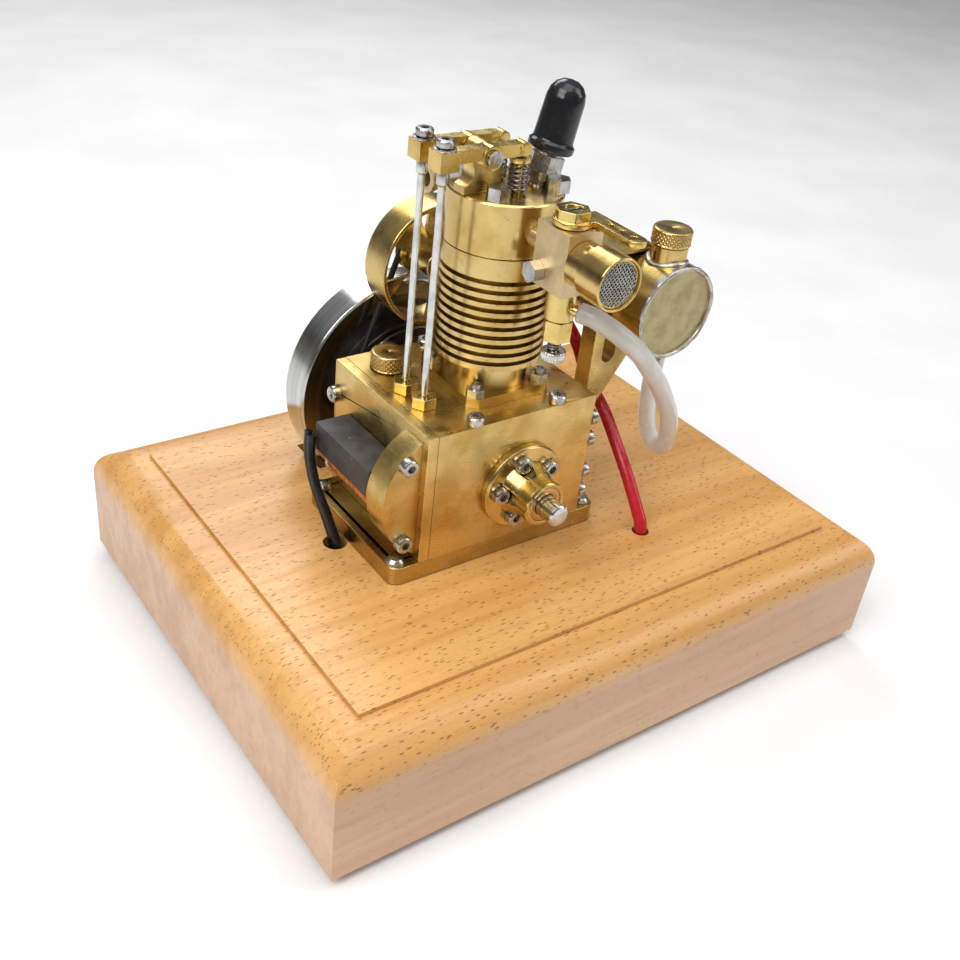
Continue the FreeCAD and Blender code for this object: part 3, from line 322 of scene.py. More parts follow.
def beech(top, end):
    """Varnished beech: honey top with short dark flecks, paler pink sides."""
    paint = Paint("beech")
    x, y, z = paint.split(paint.place)
    wave = paint.noise(26, paint.scale(paint.place, (0.35, 1, 1)), detail=3)
    bent_y = paint.maths("ADD", y, paint.product(wave, 7.0))
    grain_place = paint.build(paint.product(x, 0.05), bent_y, paint.product(z, 0.8))
    grain = paint.noise(1.5, grain_place, detail=5, roughness=0.6)
    broad = paint.noise(9, grain_place, detail=2)
    honey = paint.mix(paint.band(broad, 0.35, 0.68), (0.70, 0.385, 0.125), (0.58, 0.29, 0.075))
    honey = paint.mix(paint.band(grain, 0.40, 0.75, 0, 0.34), honey, (0.47, 0.21, 0.05))
    pale = paint.mix(paint.band(broad, 0.35, 0.68), (0.66, 0.42, 0.25), (0.56, 0.33, 0.18))
    pale = paint.mix(paint.band(grain, 0.45, 0.75, 0, 0.35), pale, (0.44, 0.25, 0.13))
    height = paint.maths("ADD", z, paint.product(paint.noise(12, detail=3), 3.0))
    side = paint.band(height, top - 4.4, top - 8.2)
    colour = paint.mix(side, honey, pale)

    # beech rays: short dark dashes that run with the grain, missing from the end grain
    broad_rays = paint.cells(1.0, paint.scale(paint.place, (1 / 2.7, 1 / 0.62, 1 / 1.1)))
    fine_rays = paint.cells(1.0, paint.scale(paint.place, (1 / 1.7, 1 / 0.36, 1 / 0.8)))
    sparse = paint.band(paint.noise(2.2, detail=1), 0.32, 0.46)
    fleck = paint.product(paint.band(broad_rays, 0.28, 0.14), sparse)
    fine = paint.product(paint.band(fine_rays, 0.22, 0.13), 0.45)
    fleck = paint.maths("MAXIMUM", fleck, fine)
    fleck = paint.product(fleck, paint.band(side, 0, 1, 0.82, 0.22))
    end_grain = paint.band(paint.maths("ABSOLUTE", x), end - 1.5, end - 0.3)
    fleck = paint.product(fleck, paint.inverse(end_grain))
    colour = paint.mix(fleck, colour, (0.21, 0.08, 0.02))
    cloud = paint.band(paint.noise(3.3, detail=4), 0.60, 0.78, 0, 0.3)
    colour = paint.mix(paint.product(cloud, side), colour, (0.34, 0.19, 0.10))
    # painted shade: darker brown in the seams and corners between pieces
    colour = paint.mix(paint.product(paint.crevice_shade(0.9), 0.7), colour, (0.12, 0.06, 0.025))

    relief = paint.bump(paint.inverse(fleck), 0.04)
    relief = paint.bump(grain, 0.03, relief)
    relief = paint.bump(paint.noise(14, detail=2), 0.25, relief)
    roughness = paint.band(grain, 0.3, 0.7, 0.33, 0.44)
    coat = paint.band(side, 0, 1, 0.35, 0.15)
    return paint.shine(
        Base_Color=colour, Roughness=roughness, Normal=relief, Coat_Weight=coat, Coat_Roughness=0.25)


def rubber(name, colour=(0.012, 0.012, 0.013), rough=0.28, grain=0.35):
    """Moulded rubber or vinyl: a soft gloss, dust and faint ripples."""
    paint = Paint(name)
    dust = paint.band(paint.noise(0.7, detail=6, roughness=0.7), 0.58, 0.8, 0, 0.35)
    dusty = tuple(min(1.0, amount + 0.10) for amount in colour)
    shade = paint.mix(dust, colour, dusty)
    roughness = paint.band(paint.noise(2.5, detail=3), 0.3, 0.7, rough - 0.08, rough + 0.12)
    relief = paint.bump(paint.noise(grain, detail=3), 0.012)
    relief = paint.bump(paint.noise(3.5, detail=2), 0.08, relief)
    return paint.shine(Base_Color=shade, Roughness=roughness, Normal=relief)


def speckled_black():
    """The pick-up block: matt charcoal with white dust specks."""
    paint = Paint("charcoal_block")
    chosen = paint.band(paint.noise(1.1, detail=1), 0.50, 0.60)
    speck = paint.product(paint.band(paint.cells(1.5), 0.09, 0.04), chosen)
    patches = paint.band(paint.noise(4, detail=4), 0.35, 0.7)
    base = paint.mix(patches, (0.024, 0.023, 0.022), (0.05, 0.046, 0.042))
    colour = paint.mix(speck, base, (0.75, 0.75, 0.73))
    relief = paint.bump(paint.noise(0.2, detail=2), 0.012)
    return paint.shine(Base_Color=colour, Roughness=0.5, Normal=relief)


def clear_vinyl():
    """Milky clear hose."""
    paint = Paint("milky_vinyl")
    cloud = paint.noise(3.5, detail=3)
    colour = paint.mix(paint.band(cloud, 0.35, 0.65), (0.96, 0.955, 0.94), (0.90, 0.895, 0.875))
    roughness = paint.band(paint.noise(2.5), 0.3, 0.7, 0.12, 0.20)
    relief = paint.bump(paint.noise(6, detail=1), 0.01)
    return paint.shine(
        Base_Color=colour, Roughness=roughness, Normal=relief, Transmission_Weight=0.72, IOR=1.33)


def copper():
    """Enamelled wire: orange copper with brown patches under a clear coat."""
    paint = Paint("enamelled_copper")
    patches = paint.band(paint.noise(1.2, detail=3), 0.35, 0.7)
    colour = paint.mix(patches, (0.72, 0.30, 0.13), (0.38, 0.12, 0.04))
    relief = paint.bump(paint.noise(0.4, detail=2), 0.01)
    return paint.shine(Base_Color=colour, Metallic=1.0, Roughness=0.25, Normal=relief, Coat_Weight=0.5)


def solder():
    """Dull silver-grey solder, lumpy."""
    paint = Paint("solder")
    patches = paint.band(paint.noise(1.4, detail=4), 0.35, 0.7)
    colour = paint.mix(patches, (0.62, 0.60, 0.56), (0.33, 0.31, 0.28))
    relief = paint.bump(paint.noise(0.9, detail=3), 0.10)
    return paint.shine(Base_Color=colour, Metallic=1.0, Roughness=0.38, Normal=relief)


def tank_brass(centre, radius, half):
    """Turned shell; olive ends with a smear of solder along the seams, half mm each way."""
    paint = Paint("tank_brass")
    colour = brass_colour(paint, (0.67, 0.50, 0.20), (0.52, 0.37, 0.11), 0.5)[0]
    rings, distance, along = lathe_rings(paint, centre, "y", 0.2)
    stain = paint.band(paint.noise(3, detail=5), 0.35, 0.7)
    olive = paint.mix(stain, (0.46, 0.40, 0.22), (0.35, 0.30, 0.15))
    ends = paint.band(distance, radius - 0.8, radius - 1.2)
    colour = paint.mix(ends, colour, olive)
    wobble = paint.product(paint.noise(2.6, detail=3), 2.4)
    front = paint.band(paint.maths("SUBTRACT", along, wobble), 0.4 - half, -0.5 - half)
    back = paint.band(paint.maths("ADD", along, wobble), half - 0.4, half + 0.5)
    seam = paint.product(paint.maths("MAXIMUM", front, back), paint.inverse(ends))
    colour = paint.mix(seam, colour, (0.50, 0.48, 0.43))
    relief = paint.bump(rings, 0.008)
    relief = paint.bump(paint.noise(0.5, detail=3), 0.015, relief)
    roughness = paint.band(ends, 0, 1, 0.24, 0.42)
    return paint.shine(Base_Color=colour, Metallic=1.0, Roughness=roughness, Normal=relief)


# ---------------------------------------------------------------- finishing

SHARP = math.radians(46)     # edges steeper than this stay sharp in the shading
ROUNDED = math.radians(34)   # edges steeper than this get rounded


def smooth_group():
    """Geometry nodes that shade smooth except across sharp edges."""
    group = bpy.data.node_groups.new("smooth_by_angle", "GeometryNodeTree")
    group.interface.new_socket("Geometry", in_out="INPUT", socket_type="NodeSocketGeometry")
    group.interface.new_socket("Geometry", in_out="OUTPUT", socket_type="NodeSocketGeometry")
    source = group.nodes.new("NodeGroupInput")
    faces = group.nodes.new("GeometryNodeSetShadeSmooth")
    edges = group.nodes.new("GeometryNodeSetShadeSmooth")
    edges.domain = "EDGE"
    edges.inputs["Shade Smooth"].default_value = False
    angle = group.nodes.new("GeometryNodeInputMeshEdgeAngle")
    sharp = group.nodes.new("FunctionNodeCompare")
    sharp.operation = "GREATER_THAN"
    sharp.inputs[1].default_value = SHARP
    sink = group.nodes.new("NodeGroupOutput")
    group.links.new(source.outputs[0], faces.inputs["Geometry"])
    group.links.new(faces.outputs[0], edges.inputs["Geometry"])
    group.links.new(angle.outputs["Unsigned Angle"], sharp.inputs[0])
    group.links.new(sharp.outputs[0], edges.inputs["Selection"])
    group.links.new(edges.outputs[0], sink.inputs[0])
    return group


SMOOTH = smooth_group()


def soften(piece, width):
    """Rounds the edges by width mm and evens the shading."""
    weld = piece.modifiers.new("weld", "WELD")
    weld.merge_threshold = 1e-6
    if width > 0:
        bevel = piece.modifiers.new("rounded_edges", "BEVEL")
        bevel.width = width * MM
        bevel.segments = 2
        bevel.limit_method = "ANGLE"
        bevel.angle_limit = ROUNDED
        bevel.use_clamp_overlap = True
    shade = piece.modifiers.new("smooth", "NODES")
    shade.node_group = SMOOTH
    weight = piece.modifiers.new("even_normals", "WEIGHTED_NORMAL")
    weight.keep_sharp = True


def dress(node, material, width):
    """Gives a carried-over CAD node its material and edge rounding."""
    piece = nodes[node]
    mesh = piece.data
    if mesh.has_custom_normals:
        with bpy.context.temp_override(object=piece, active_object=piece, selected_objects=[piece]):
            bpy.ops.mesh.customdata_custom_splitnormals_clear()
    mesh.materials.clear()
    mesh.materials.append(material)
    soften(piece, width)


def make(name, shape, material, body, replaces=(), soft=None):
    """A new piece from (points, faces) in millimetres, riding on a body."""
    points, faces = shape
    mesh = bpy.data.meshes.new(name)
    mesh.from_pydata([Vector(point) * MM for point in points], [], faces)
    mesh.validate()
    mesh.materials.append(material)
    for face in mesh.polygons:
        face.use_smooth = True
    piece = bpy.data.objects.new(name, mesh)
    bpy.context.scene.collection.objects.link(piece)
    if soft is not None:
        soften(piece, soft)
    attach(piece, body)
    if replaces:
        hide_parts(*replaces)
    return piece


# ---------------------------------------------------------------- mesh helpers

# turns that carry a lathe's own axis, z, to each axis of the row frame
AXES = {
    "z": Matrix.Identity(3),
    "y": Matrix(((0, 1, 0), (0, 0, 1), (1, 0, 0))),
    "x": Matrix(((0, 0, 1), (1, 0, 0), (0, 1, 0))),
}


AXLE = 0.001   # stands for a radius of 0, so that no face of a turned shape is empty


def joined(*parts):
    """Several (points, faces) pairs as one."""
    points, faces = [], []
    for more_points, more_faces in parts:
        start = len(points)
        points += more_points
        faces += [tuple(index + start for index in face) for face in more_faces]
    return points, faces


def lathe(outline, centre, axis="z", steps=96):
    """Turns a closed (radius, height) outline about an axis through centre."""
    turn = AXES[axis]
    centre = Vector(centre)
    points, faces = [], []
    count = len(outline)
    for i in range(steps):
        angle = FULL * i / steps
        for radius, height in outline:
            radius = max(radius, AXLE)
            local = Vector((radius * math.cos(angle), radius * math.sin(angle), height))
            points.append(centre + turn @ local)
        after = (i + 1) % steps
        for j in range(count):
            k = (j + 1) % count
            faces.append((i * count + j, after * count + j, after * count + k, i * count + k))
    return points, faces


def sweep(path, radius, sides=12, closed=False, ends=True):
    """A round tube along a list of points. radius may be a function of the share run."""
    size = radius if callable(radius) else lambda share: radius
    path = [Vector(point) for point in path]
    count = len(path)
    points, faces = [], []
    side = None
    for i, point in enumerate(path):
        before = path[i - 1] if i or closed else path[0]
        after = path[(i + 1) % count] if i < count - 1 or closed else path[-1]
        along = (after - before).normalized()
        if side is None:
            side = along.orthogonal().normalized()
        side = (side - along * side.dot(along)).normalized()
        up = along.cross(side)
        reach = size(i / max(1, count - 1))
        for j in range(sides):
            angle = FULL * j / sides
            points.append(point + (side * math.cos(angle) + up * math.sin(angle)) * reach)
    for i in range(count if closed else count - 1):
        after = (i + 1) % count
        for j in range(sides):
            k = (j + 1) % sides
            faces.append((i * sides + j, i * sides + k, after * sides + k, after * sides + j))
    if ends and not closed:
        faces.append(tuple(range(sides - 1, -1, -1)))
        faces.append(tuple(range((count - 1) * sides, count * sides)))
    return points, faces


def curve_through(points, steps):
    """A smooth path through points: a uniform Catmull-Rom curve, steps to a stretch."""
    points = [Vector(point) for point in points]
    points = [2 * points[0] - points[1]] + points + [2 * points[-1] - points[-2]]
    path = []
    for i in range(1, len(points) - 2):
        a, b, c, d = points[i - 1:i + 3]
        for j in range(steps):
            t = j / steps
            path.append(0.5 * (
                2 * b + (c - a) * t + (2 * a - 5 * b + 4 * c - d) * t ** 2
                + (3 * b - a - 3 * c + d) * t ** 3))
    path.append(points[-2])
    return path


def evened(path, step, held=5, passes=12):
    """The same path with equal steps, its bends relaxed except near its ends."""
    result = [path[0]]
    run = 0.0
    for a, b in zip(path, path[1:]):
        length = (b - a).length
        while length and run + length >= step:
            a = a.lerp(b, (step - run) / length)
            result.append(a)
            length = (b - a).length
            run = 0.0
        run += length
    result[-1] = path[-1]
    for _ in range(passes):
        middle = range(held, len(result) - held)
        relaxed = {i: (result[i - 1] + result[i] * 2 + result[i + 1]) / 4 for i in middle}
        for i, point in relaxed.items():
            result[i] = point
    return result


def triangle_wave(amount):
    """0 at whole numbers, 1 half-way between them."""
    return 1 - abs(2 * (amount % 1) - 1)


def knurled(radius, low, high, cells, centre, below, diamond=True, depth=0.38, chamfer=0.4, dimple=0.0):
    """A knurled cap, open on its axis. below is its outline from the axis up to the knurl's foot."""
    per_cell = 6
    steps = cells * per_cell
    rows = 30 if diamond else 8
    raised, bottom = high + 0.02, high - 0.7
    band_low, band_high = low + chamfer, high - chamfer
    cell = FULL * radius / cells
    outline = list(below) + [(radius - chamfer, low)]
    top = [(radius - chamfer, high), (radius - 2 * chamfer, raised), (dimple + 0.15, raised)]
    top += [(dimple, high - 0.1), (dimple, bottom), (AXLE, bottom)] if dimple else [(AXLE, high)]
    profile = [(r, z, False) for r, z in outline]
    profile += [(radius, band_low + (band_high - band_low) * i / (rows - 1), True) for i in range(rows)]
    profile += [(r, z, False) for r, z in top]
    points, faces = [], []
    count = len(profile)
    for i in range(steps):
        angle = FULL * i / steps
        for r, z, cut in profile:
            if cut:
                around = i / per_cell
                up = (z - band_low) / cell if diamond else 0
                first = triangle_wave(around + up)
                second = triangle_wave(around - up) if diamond else first
                ridge = min(first, second)
                fade = min(1.0, (z - band_low) / 0.25 + 0.15, (band_high - z) / 0.25 + 0.15)
                r = radius - depth * (1 - ridge) * max(fade, 0.15)
            points.append(Vector(centre) + Vector((r * math.cos(angle), r * math.sin(angle), z)))
        after = (i + 1) % steps
        for j in range(count - 1):
            faces.append((i * count + j, after * count + j, after * count + j + 1, i * count + j + 1))
    return points, faces


def helix(radius, low, high, turns, centre, wire):
    """The path of a coil spring whose end turns lie a little flatter than the rest."""
    x, y = centre
    flat, per_turn = 0.9, 28
    path = []
    steps = int(turns * per_turn)
    for i in range(steps + 1):
        share = i / steps
        angle = FULL * turns * share
        turn = turns * share
        ground = min(turn / flat, 1) * min((turns - turn) / flat, 1)
        eased = (share - 0.5) * (0.94 + 0.06 * ground) + 0.5
        height = low + wire + (high - low - 2 * wire) * eased
        path.append((x + radius * math.cos(angle), y + radius * math.sin(angle), height))
    return path


# ---------------------------------------------------------------- sizes from the frame

def half_width(node):
    """Half a CAD node's width in x: the radius of a round one."""
    low, high = limits(node)
    return (high.x - low.x) / 2


def upright_axis(node):
    """The foot, at height 0, of the vertical line through a CAD node's middle."""
    low, high = limits(node)
    return ((low.x + high.x) / 2, (low.y + high.y) / 2, 0)


wood_high = limits("wooden_base")[1]
head_high = limits("cylinder_head")[1]
cup_high = limits("intake_cup")[1]
fan_low, fan_high = limits("fan_rotor")
tank_low, tank_high = limits("fuel_tank")

cylinder_axis = middle("cylinder_barrel")
boss_axis = middle("front_bearing_boss")
cup_axis = middle("intake_cup")
fly_axis = middle("flywheel")
fan_axis = middle("fan_rotor")
fly_radius = half_width("flywheel")
tank_radius = half_width("fuel_tank")
tank_axis = ((tank_low.x + tank_high.x) / 2, (tank_low.y + tank_high.y) / 2, tank_low.z + tank_radius)
TANK_HALF = 12.0   # half the length of the tank's shell, between its end seams


# ---------------------------------------------------------------- carried-over nodes

MILLED = machined_brass()
MILLED_Y = machined_brass("milled_brass_side", along="y")
PLATE = machined_brass("bed_brass", light=(0.56, 0.41, 0.155), warm=(0.43, 0.29, 0.09), rough=0.28)
BRIGHT = machined_brass("bright_brass", "z", (0.76, 0.57, 0.21), (0.62, 0.44, 0.13), 0.22)
BRONZE = turned_brass("bearing_bronze", boss_axis, "y", (0.60, 0.38, 0.17), (0.48, 0.29, 0.11))
BLASTED = blasted_brass()
SCREW = steel("screw_steel", rough=0.24, grime=0.55)
ROD_STEEL = steel("ground_steel", (0.70, 0.70, 0.69), (0.52, 0.52, 0.51), 0.18, 0.25)
SHAFT_STEEL = steel("shaft_steel", (0.70, 0.70, 0.69), (0.50, 0.50, 0.49), 0.16, 0.3, "y")
DARK_STEEL = steel("dark_steel", (0.30, 0.28, 0.26), (0.15, 0.14, 0.13), 0.30, 0.5)
NICKEL = steel("nickel_plate", (0.72, 0.71, 0.68), (0.58, 0.57, 0.54), 0.20, 0.35)
ALUMINIUM = steel("aluminium", (0.74, 0.74, 0.75), (0.60, 0.60, 0.61), 0.28, 0.15)
BLACK_RUBBER = rubber("boot_rubber", (0.010, 0.011, 0.013), 0.16, 0.5)
VINYL = rubber("black_vinyl", (0.008, 0.008, 0.009), 0.22)
BELT = rubber("belt_rubber", (0.012, 0.012, 0.012), 0.42)
FOOT = rubber("foot_rubber", (0.02, 0.02, 0.02), 0.55)
RED = rubber("red_silicone", (0.50, 0.008, 0.022), 0.26)
SOLDER = solder()
COPPER = copper()

# material, width of the rounded edges in mm, and the CAD nodes that get them
FINISHES = [
    (beech(wood_high.z, wood_high.x), 0.25, ["wooden_base"]),
    (FOOT, 0.3, ["rubber_feet"]),
    (PLATE, 0.35, ["bed_plate"]),
    (MILLED, 0.14, ["crankcase_front_plate", "crankcase_rear_plate", "crankcase_top_plate"]),
    (MILLED_Y, 0.16, ["crankcase_left_plate", "crankcase_right_plate", "gear_cover"]),
    (MILLED, 0.14, ["tank_bracket", "fan_bracket", "rocker_pedestal"]),
    (BRIGHT, 0.14, ["intake_rocker", "exhaust_rocker", "pushrod_guides"]),
    (BRIGHT, 0.14, ["throttle_lever", "needle_housing"]),
    (turned_brass("boss_brass", boss_axis, "y"), 0.12, ["front_bearing_boss"]),
    (turned_brass("cup_brass", cup_axis, "y", rough=0.17), 0.12, ["intake_cup"]),
    (turned_brass("head_brass", cylinder_axis, "z", rough=0.19), 0.18, ["cylinder_head"]),
    (finned_brass(cylinder_axis), 0.08, ["cylinder_barrel"]),
    (BLASTED, 0.2, ["carburettor_body", "exhaust_elbow"]),
    (tank_brass(tank_axis, tank_radius, TANK_HALF), 0.18, ["fuel_tank"]),
    (BRONZE, 0.1, ["shaft_bearings"]),
    (turned_brass("nipple_brass", cylinder_axis, "z", rough=0.2), 0.0, ["fuel_nipples"]),
    (SCREW, 0.1, ["socket_screws", "cylinder_nuts", "hex_bolts", "bed_plate_screws", "throttle_barrel"]),
    (SCREW, 0.1, ["intake_adjuster", "exhaust_adjuster", "spark_plug"]),
    (BRIGHT, 0.08, ["intake_valve", "exhaust_valve"]),
    (ROD_STEEL, 0.06, ["intake_pushrod", "exhaust_pushrod"]),
    (SHAFT_STEEL, 0.2, ["crankshaft", "rocker_shaft"]),
    (flywheel_steel(fly_axis, fly_radius), 0.25, ["flywheel"]),
    (DARK_STEEL, 0.08, ["crank_gear", "camshaft"]),
    (BRIGHT, 0.08, ["cam_gear"]),
    (ALUMINIUM, 0.1, ["piston", "connecting_rod"]),
    (BLACK_RUBBER, 0.15, ["spark_plug_boot"]),
    (BELT, 0.0, ["drive_belt"]),
    (RED, 0.0, ["ignition_lead"]),
    (VINYL, 0.0, ["pickup_leads"]),
    (speckled_black(), 0.5, ["pickup_core"]),
]
for material, width, names in FINISHES:
    for node in names:
        dress(node, material, width)


# ---------------------------------------------------------------- new pieces

def fan():
    """Broad twisted blades between a small hub and a wide ring."""
    x, _, z = fan_axis
    front, back = fan_low.y, fan_high.y
    ring_back = front + 7.9
    belt = 25.4
    groove, pulley, bore = 3.1, 4.6, 1.25
    outer = half_width("fan_rotor")
    inner = outer - 1.05
    bevel = 0.25
    ring = lathe([
        (inner, front + bevel), (inner + bevel, front), (outer - bevel, front), (outer, front + bevel),
        (outer, ring_back - bevel), (outer - bevel, ring_back), (inner + bevel, ring_back),
        (inner, ring_back - bevel),
    ], (x, 0, z), "y", 144)
    hub = lathe([
        (bore, front), (2.7, front), (3.0, front + 0.3), (3.2, ring_back + 0.2), (4.4, ring_back + 0.25),
        (pulley, ring_back + 0.4), (pulley, belt - 1), (groove, belt - 0.6), (groove, belt + 0.6),
        (pulley, belt + 1), (pulley, back - 0.15), (4.4, back), (bore, back),
    ], (x, 0, z), "y", 64)
    count, first = 5, 64
    blades = [blade(x, z, front, ring_back, first + 360 / count * i, inner) for i in range(count)]
    brass = turned_brass("fan_brass", fan_axis, "y", rough=0.24)
    make("ring_fan", joined(ring, hub, *blades), brass, "fan", ["fan_rotor"], 0)


def blade(x, z, front, back, middle_angle, reach):
    """One blade: a sheet that spirals from front to back as it crosses its sector."""
    chord, root_chord, thick = 42, 52.5, 0.75
    root, root_end = 2.8, 6
    across, out = 12, 8
    points, faces = [], []
    for side in (-1, 1):
        for i in range(out + 1):
            radius = root + (reach + 0.3 - root) * i / out
            for j in range(across + 1):
                share = j / across - 0.5
                angle = math.radians(middle_angle + share * (chord if radius > root_end else root_chord))
                bow = 0.9 * math.cos(math.pi * share)
                depth = (back - front - 1.6) * share + bow - 0.3
                points.append(Vector((
                    x + radius * math.cos(angle),
                    (front + back) / 2 + depth + side * thick / 2,
                    z + radius * math.sin(angle))))
    row = across + 1
    sheet = row * (out + 1)
    for i in range(out):
        for j in range(across):
            a = i * row + j
            faces.append((a, a + 1, a + row + 1, a + row))
            faces.append((a + sheet, a + row + sheet, a + row + 1 + sheet, a + 1 + sheet))
    for i in range(out):
        for j in (0, across):
            a = i * row + j
            quad = (a, a + row, a + row + sheet, a + sheet)
            faces.append(quad if j == 0 else quad[::-1])
    for j in range(across):
        for i in (0, out):
            a = i * row + j
            quad = (a, a + sheet, a + 1 + sheet, a + 1)
            faces.append(quad if i == 0 else quad[::-1])
    return points, faces


CAP_BRASS = machined_brass("cap_brass", "z", (0.64, 0.48, 0.21), (0.50, 0.35, 0.13), 0.26)


def filler_cap(body, radius, tall, neck, cells):
    """A diamond-knurled cap with a dimple on top, over a plain round neck."""
    node = body.replace("_cap", "_filler_cap")
    low, high = limits(node)
    foot = high.z - tall
    below = [(AXLE, low.z), (neck - 0.1, low.z), (neck, low.z + 0.1), (neck, foot)]
    shape = knurled(radius, foot, high.z - 0.02, cells, upright_axis(node), below, dimple=0.35)
    make("knurled_" + body, shape, CAP_BRASS, body, [node])


def needle_knob():
    """The fluted needle knob on its stem, and the spring between it and the housing."""
    low, high = limits("needle_knob")
    centre = upright_axis("needle_knob")
    tall, stem = 2.0, 0.7
    knob_top = low.z + tall
    knob = knurled(
        half_width("needle_knob"), low.z, knob_top, 24, centre, [(AXLE, low.z)], False, 0.28, 0.25)
    stem_low = knob_top - 0.2
    rod = lathe([(AXLE, stem_low), (stem, stem_low), (stem, high.z - 1), (AXLE, high.z)], centre, "z", 24)
    make("fluted_needle_knob", joined(knob, rod), NICKEL, "needle", ["needle_knob"])
    housing = limits("needle_housing")[0].z
    wire, gap = 0.24, 0.02
    path = helix(1.15, knob_top + gap, housing - gap, 3.6, centre[:2], wire)
    make("needle_spring", sweep(path, wire, 10), DARK_STEEL, "needle")


def valve_spring(label):
    """One valve spring, with a mesh of its own."""
    radius, wire, turns, travel = 1.75, 0.27, 5.6, 1.035
    node = label + "_valve_spring"
    seat, under = head_high.z, limits(node)[1].z + 0.03
    path = helix(radius, seat, under, turns, upright_axis(node)[:2], wire)
    piece = make(label + "_spring_coil", sweep(path, wire, 12), DARK_STEEL, "frame", [node])
    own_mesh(piece)


def woven_mesh():
    """Plain-weave wire cloth, cut to a disc, with its rim and a black disc behind it as painted shade
    inside the cup.
    """
    x, y, z = middle("intake_mesh")
    reach = half_width("intake_mesh") - 0.03
    pitch, wire, weave_depth, steps = 0.66, 0.115, 0.11, 6
    tilt = math.radians(38)
    first = Vector((math.cos(tilt), 0, math.sin(tilt)))
    second = Vector((-math.sin(tilt), 0, math.cos(tilt)))
    wires = []
    count = int(reach / pitch)
    for run, across, sign in ((first, second, 1), (second, first, -1)):
        for i in range(-count, count + 1):
            half = math.sqrt(max(reach ** 2 - (i * pitch) ** 2, 0))
            if half < pitch:
                continue
            path = []
            total = int(2 * half / pitch * steps)
            for j in range(total + 1):
                along = -half + 2 * half * j / total
                weave = sign * weave_depth * math.cos(math.pi * (along / pitch + i))
                path.append(Vector((x, y + weave, z)) + run * along + across * (i * pitch))
            wires.append(sweep(path, wire, 6))
    finish = steel("mesh_wire", (0.62, 0.61, 0.58), (0.36, 0.35, 0.33), 0.3)
    make("woven_intake_mesh", joined(*wires), finish, "frame", ["intake_mesh"])

    inside, front, rear = reach - 0.3, y - 0.24, y + 0.24
    ring = [(inside, front), (reach, front), (reach, rear), (inside, rear)]
    make("intake_mesh_rim", lathe(ring, (x, 0, z), "y", 72), BRIGHT, "frame", soft=0.05)
    # painted shade: a black disc in the cup behind the mesh stands for the shade there
    back, radius, thick = cup_high.y - 5.2, 4.0, 0.2
    disc = [(AXLE, back), (radius, back), (radius, back + thick), (AXLE, back + thick)]
    cup_shade_black = rubber("cup_shade_black", (0.006, 0.006, 0.006), 0.8)
    make("intake_mesh_shade", lathe(disc, (x, 0, z), "y", 48), cup_shade_black, "frame")


def hose():
    """Clear fuel hose with a real wall, sagging between its nipples."""
    outer, inner, sides = 2.0, 1.35, 28
    level = 93.2
    x, y = upright_axis("needle_knob")[:2]
    along = Vector((0.32, -0.95, 0)).normalized()
    route = [Vector((x, y, level)) + along * reach for reach in (4.6, 6.1, 7.6)]
    route += [
        (-5.7, -35, 92.7), (-3.4, -36.9, 91), (1.5, -38.4, 86.8), (7.3, -37.2, 80.8), (13.4, -34.8, 74.6),
        (18.9, -32.4, 68.4), (23.9, -29.9, 62.2), (27.2, -27.7, 57), (29.8, -25.6, 52), (31.4, -23.3, 48.4),
        (32.1, -20.6, 47.2), (31.8, -18.1, 48.8), (31.1, -16.9, 52.9), (30.6, -16.6, 58.5),
    ]
    route += [(tank_axis[0], tank_low.y + 3.4, tank_low.z - drop) for drop in (6.2, 4.4, 2.4, 0.15)]
    path = evened(curve_through(route, 10), 0.8)
    outside = sweep(path, outer, sides, ends=False)
    bore, bore_faces = sweep(path, inner, sides, ends=False)
    points, faces = joined(outside, (bore, [face[::-1] for face in bore_faces]))
    start = len(outside[0])
    last = (len(path) - 1) * sides
    for j in range(sides):
        k = (j + 1) % sides
        faces.append((k, j, start + j, start + k))
        faces.append((last + j, last + k, start + last + k, start + last + j))
    make("clear_fuel_hose", (points, faces), clear_vinyl(), "frame", ["fuel_hose"])


def winding():
    """Fine copper wire wound in a rounded square round the pick-up, a little unevenly."""
    low, high = limits("pickup_winding")
    wire, per_turn = 0.21, 24
    turns = int((high.y - low.y) / (2 * wire))
    x, _, z = middle("pickup_winding")
    half_x, half_z = (high.x - low.x) / 2 - wire - 0.1, (high.z - low.z) / 2 - wire - 0.1
    path = []
    for i in range(turns * per_turn):
        angle = FULL * (i % per_turn) / per_turn
        square = 0.99 / max(abs(math.cos(angle)), abs(math.sin(angle)), 0.76)
        sag = 0.035 * math.sin(i * 0.61) + 0.025 * math.sin(i * 1.7)
        path.append((
            x + half_x * square * math.cos(angle),
            low.y + wire + 2 * wire * i / per_turn,
            z + half_z * square * math.sin(angle) + sag))
    make("copper_winding", sweep(path, wire, 6), COPPER, "frame", ["pickup_winding"])


def end_bead(share):
    """The uneven radius of the solder round the tank's ends."""
    return 0.50 + 0.07 * math.sin(FULL * 7 * share) + 0.05 * math.sin(FULL * 17 * share)


def neck_bead(share):
    """The uneven radius of the solder round the filler neck."""
    return 0.62 + 0.14 * math.sin(FULL * 3 * share + 0.5) + 0.07 * math.sin(FULL * 9 * share)


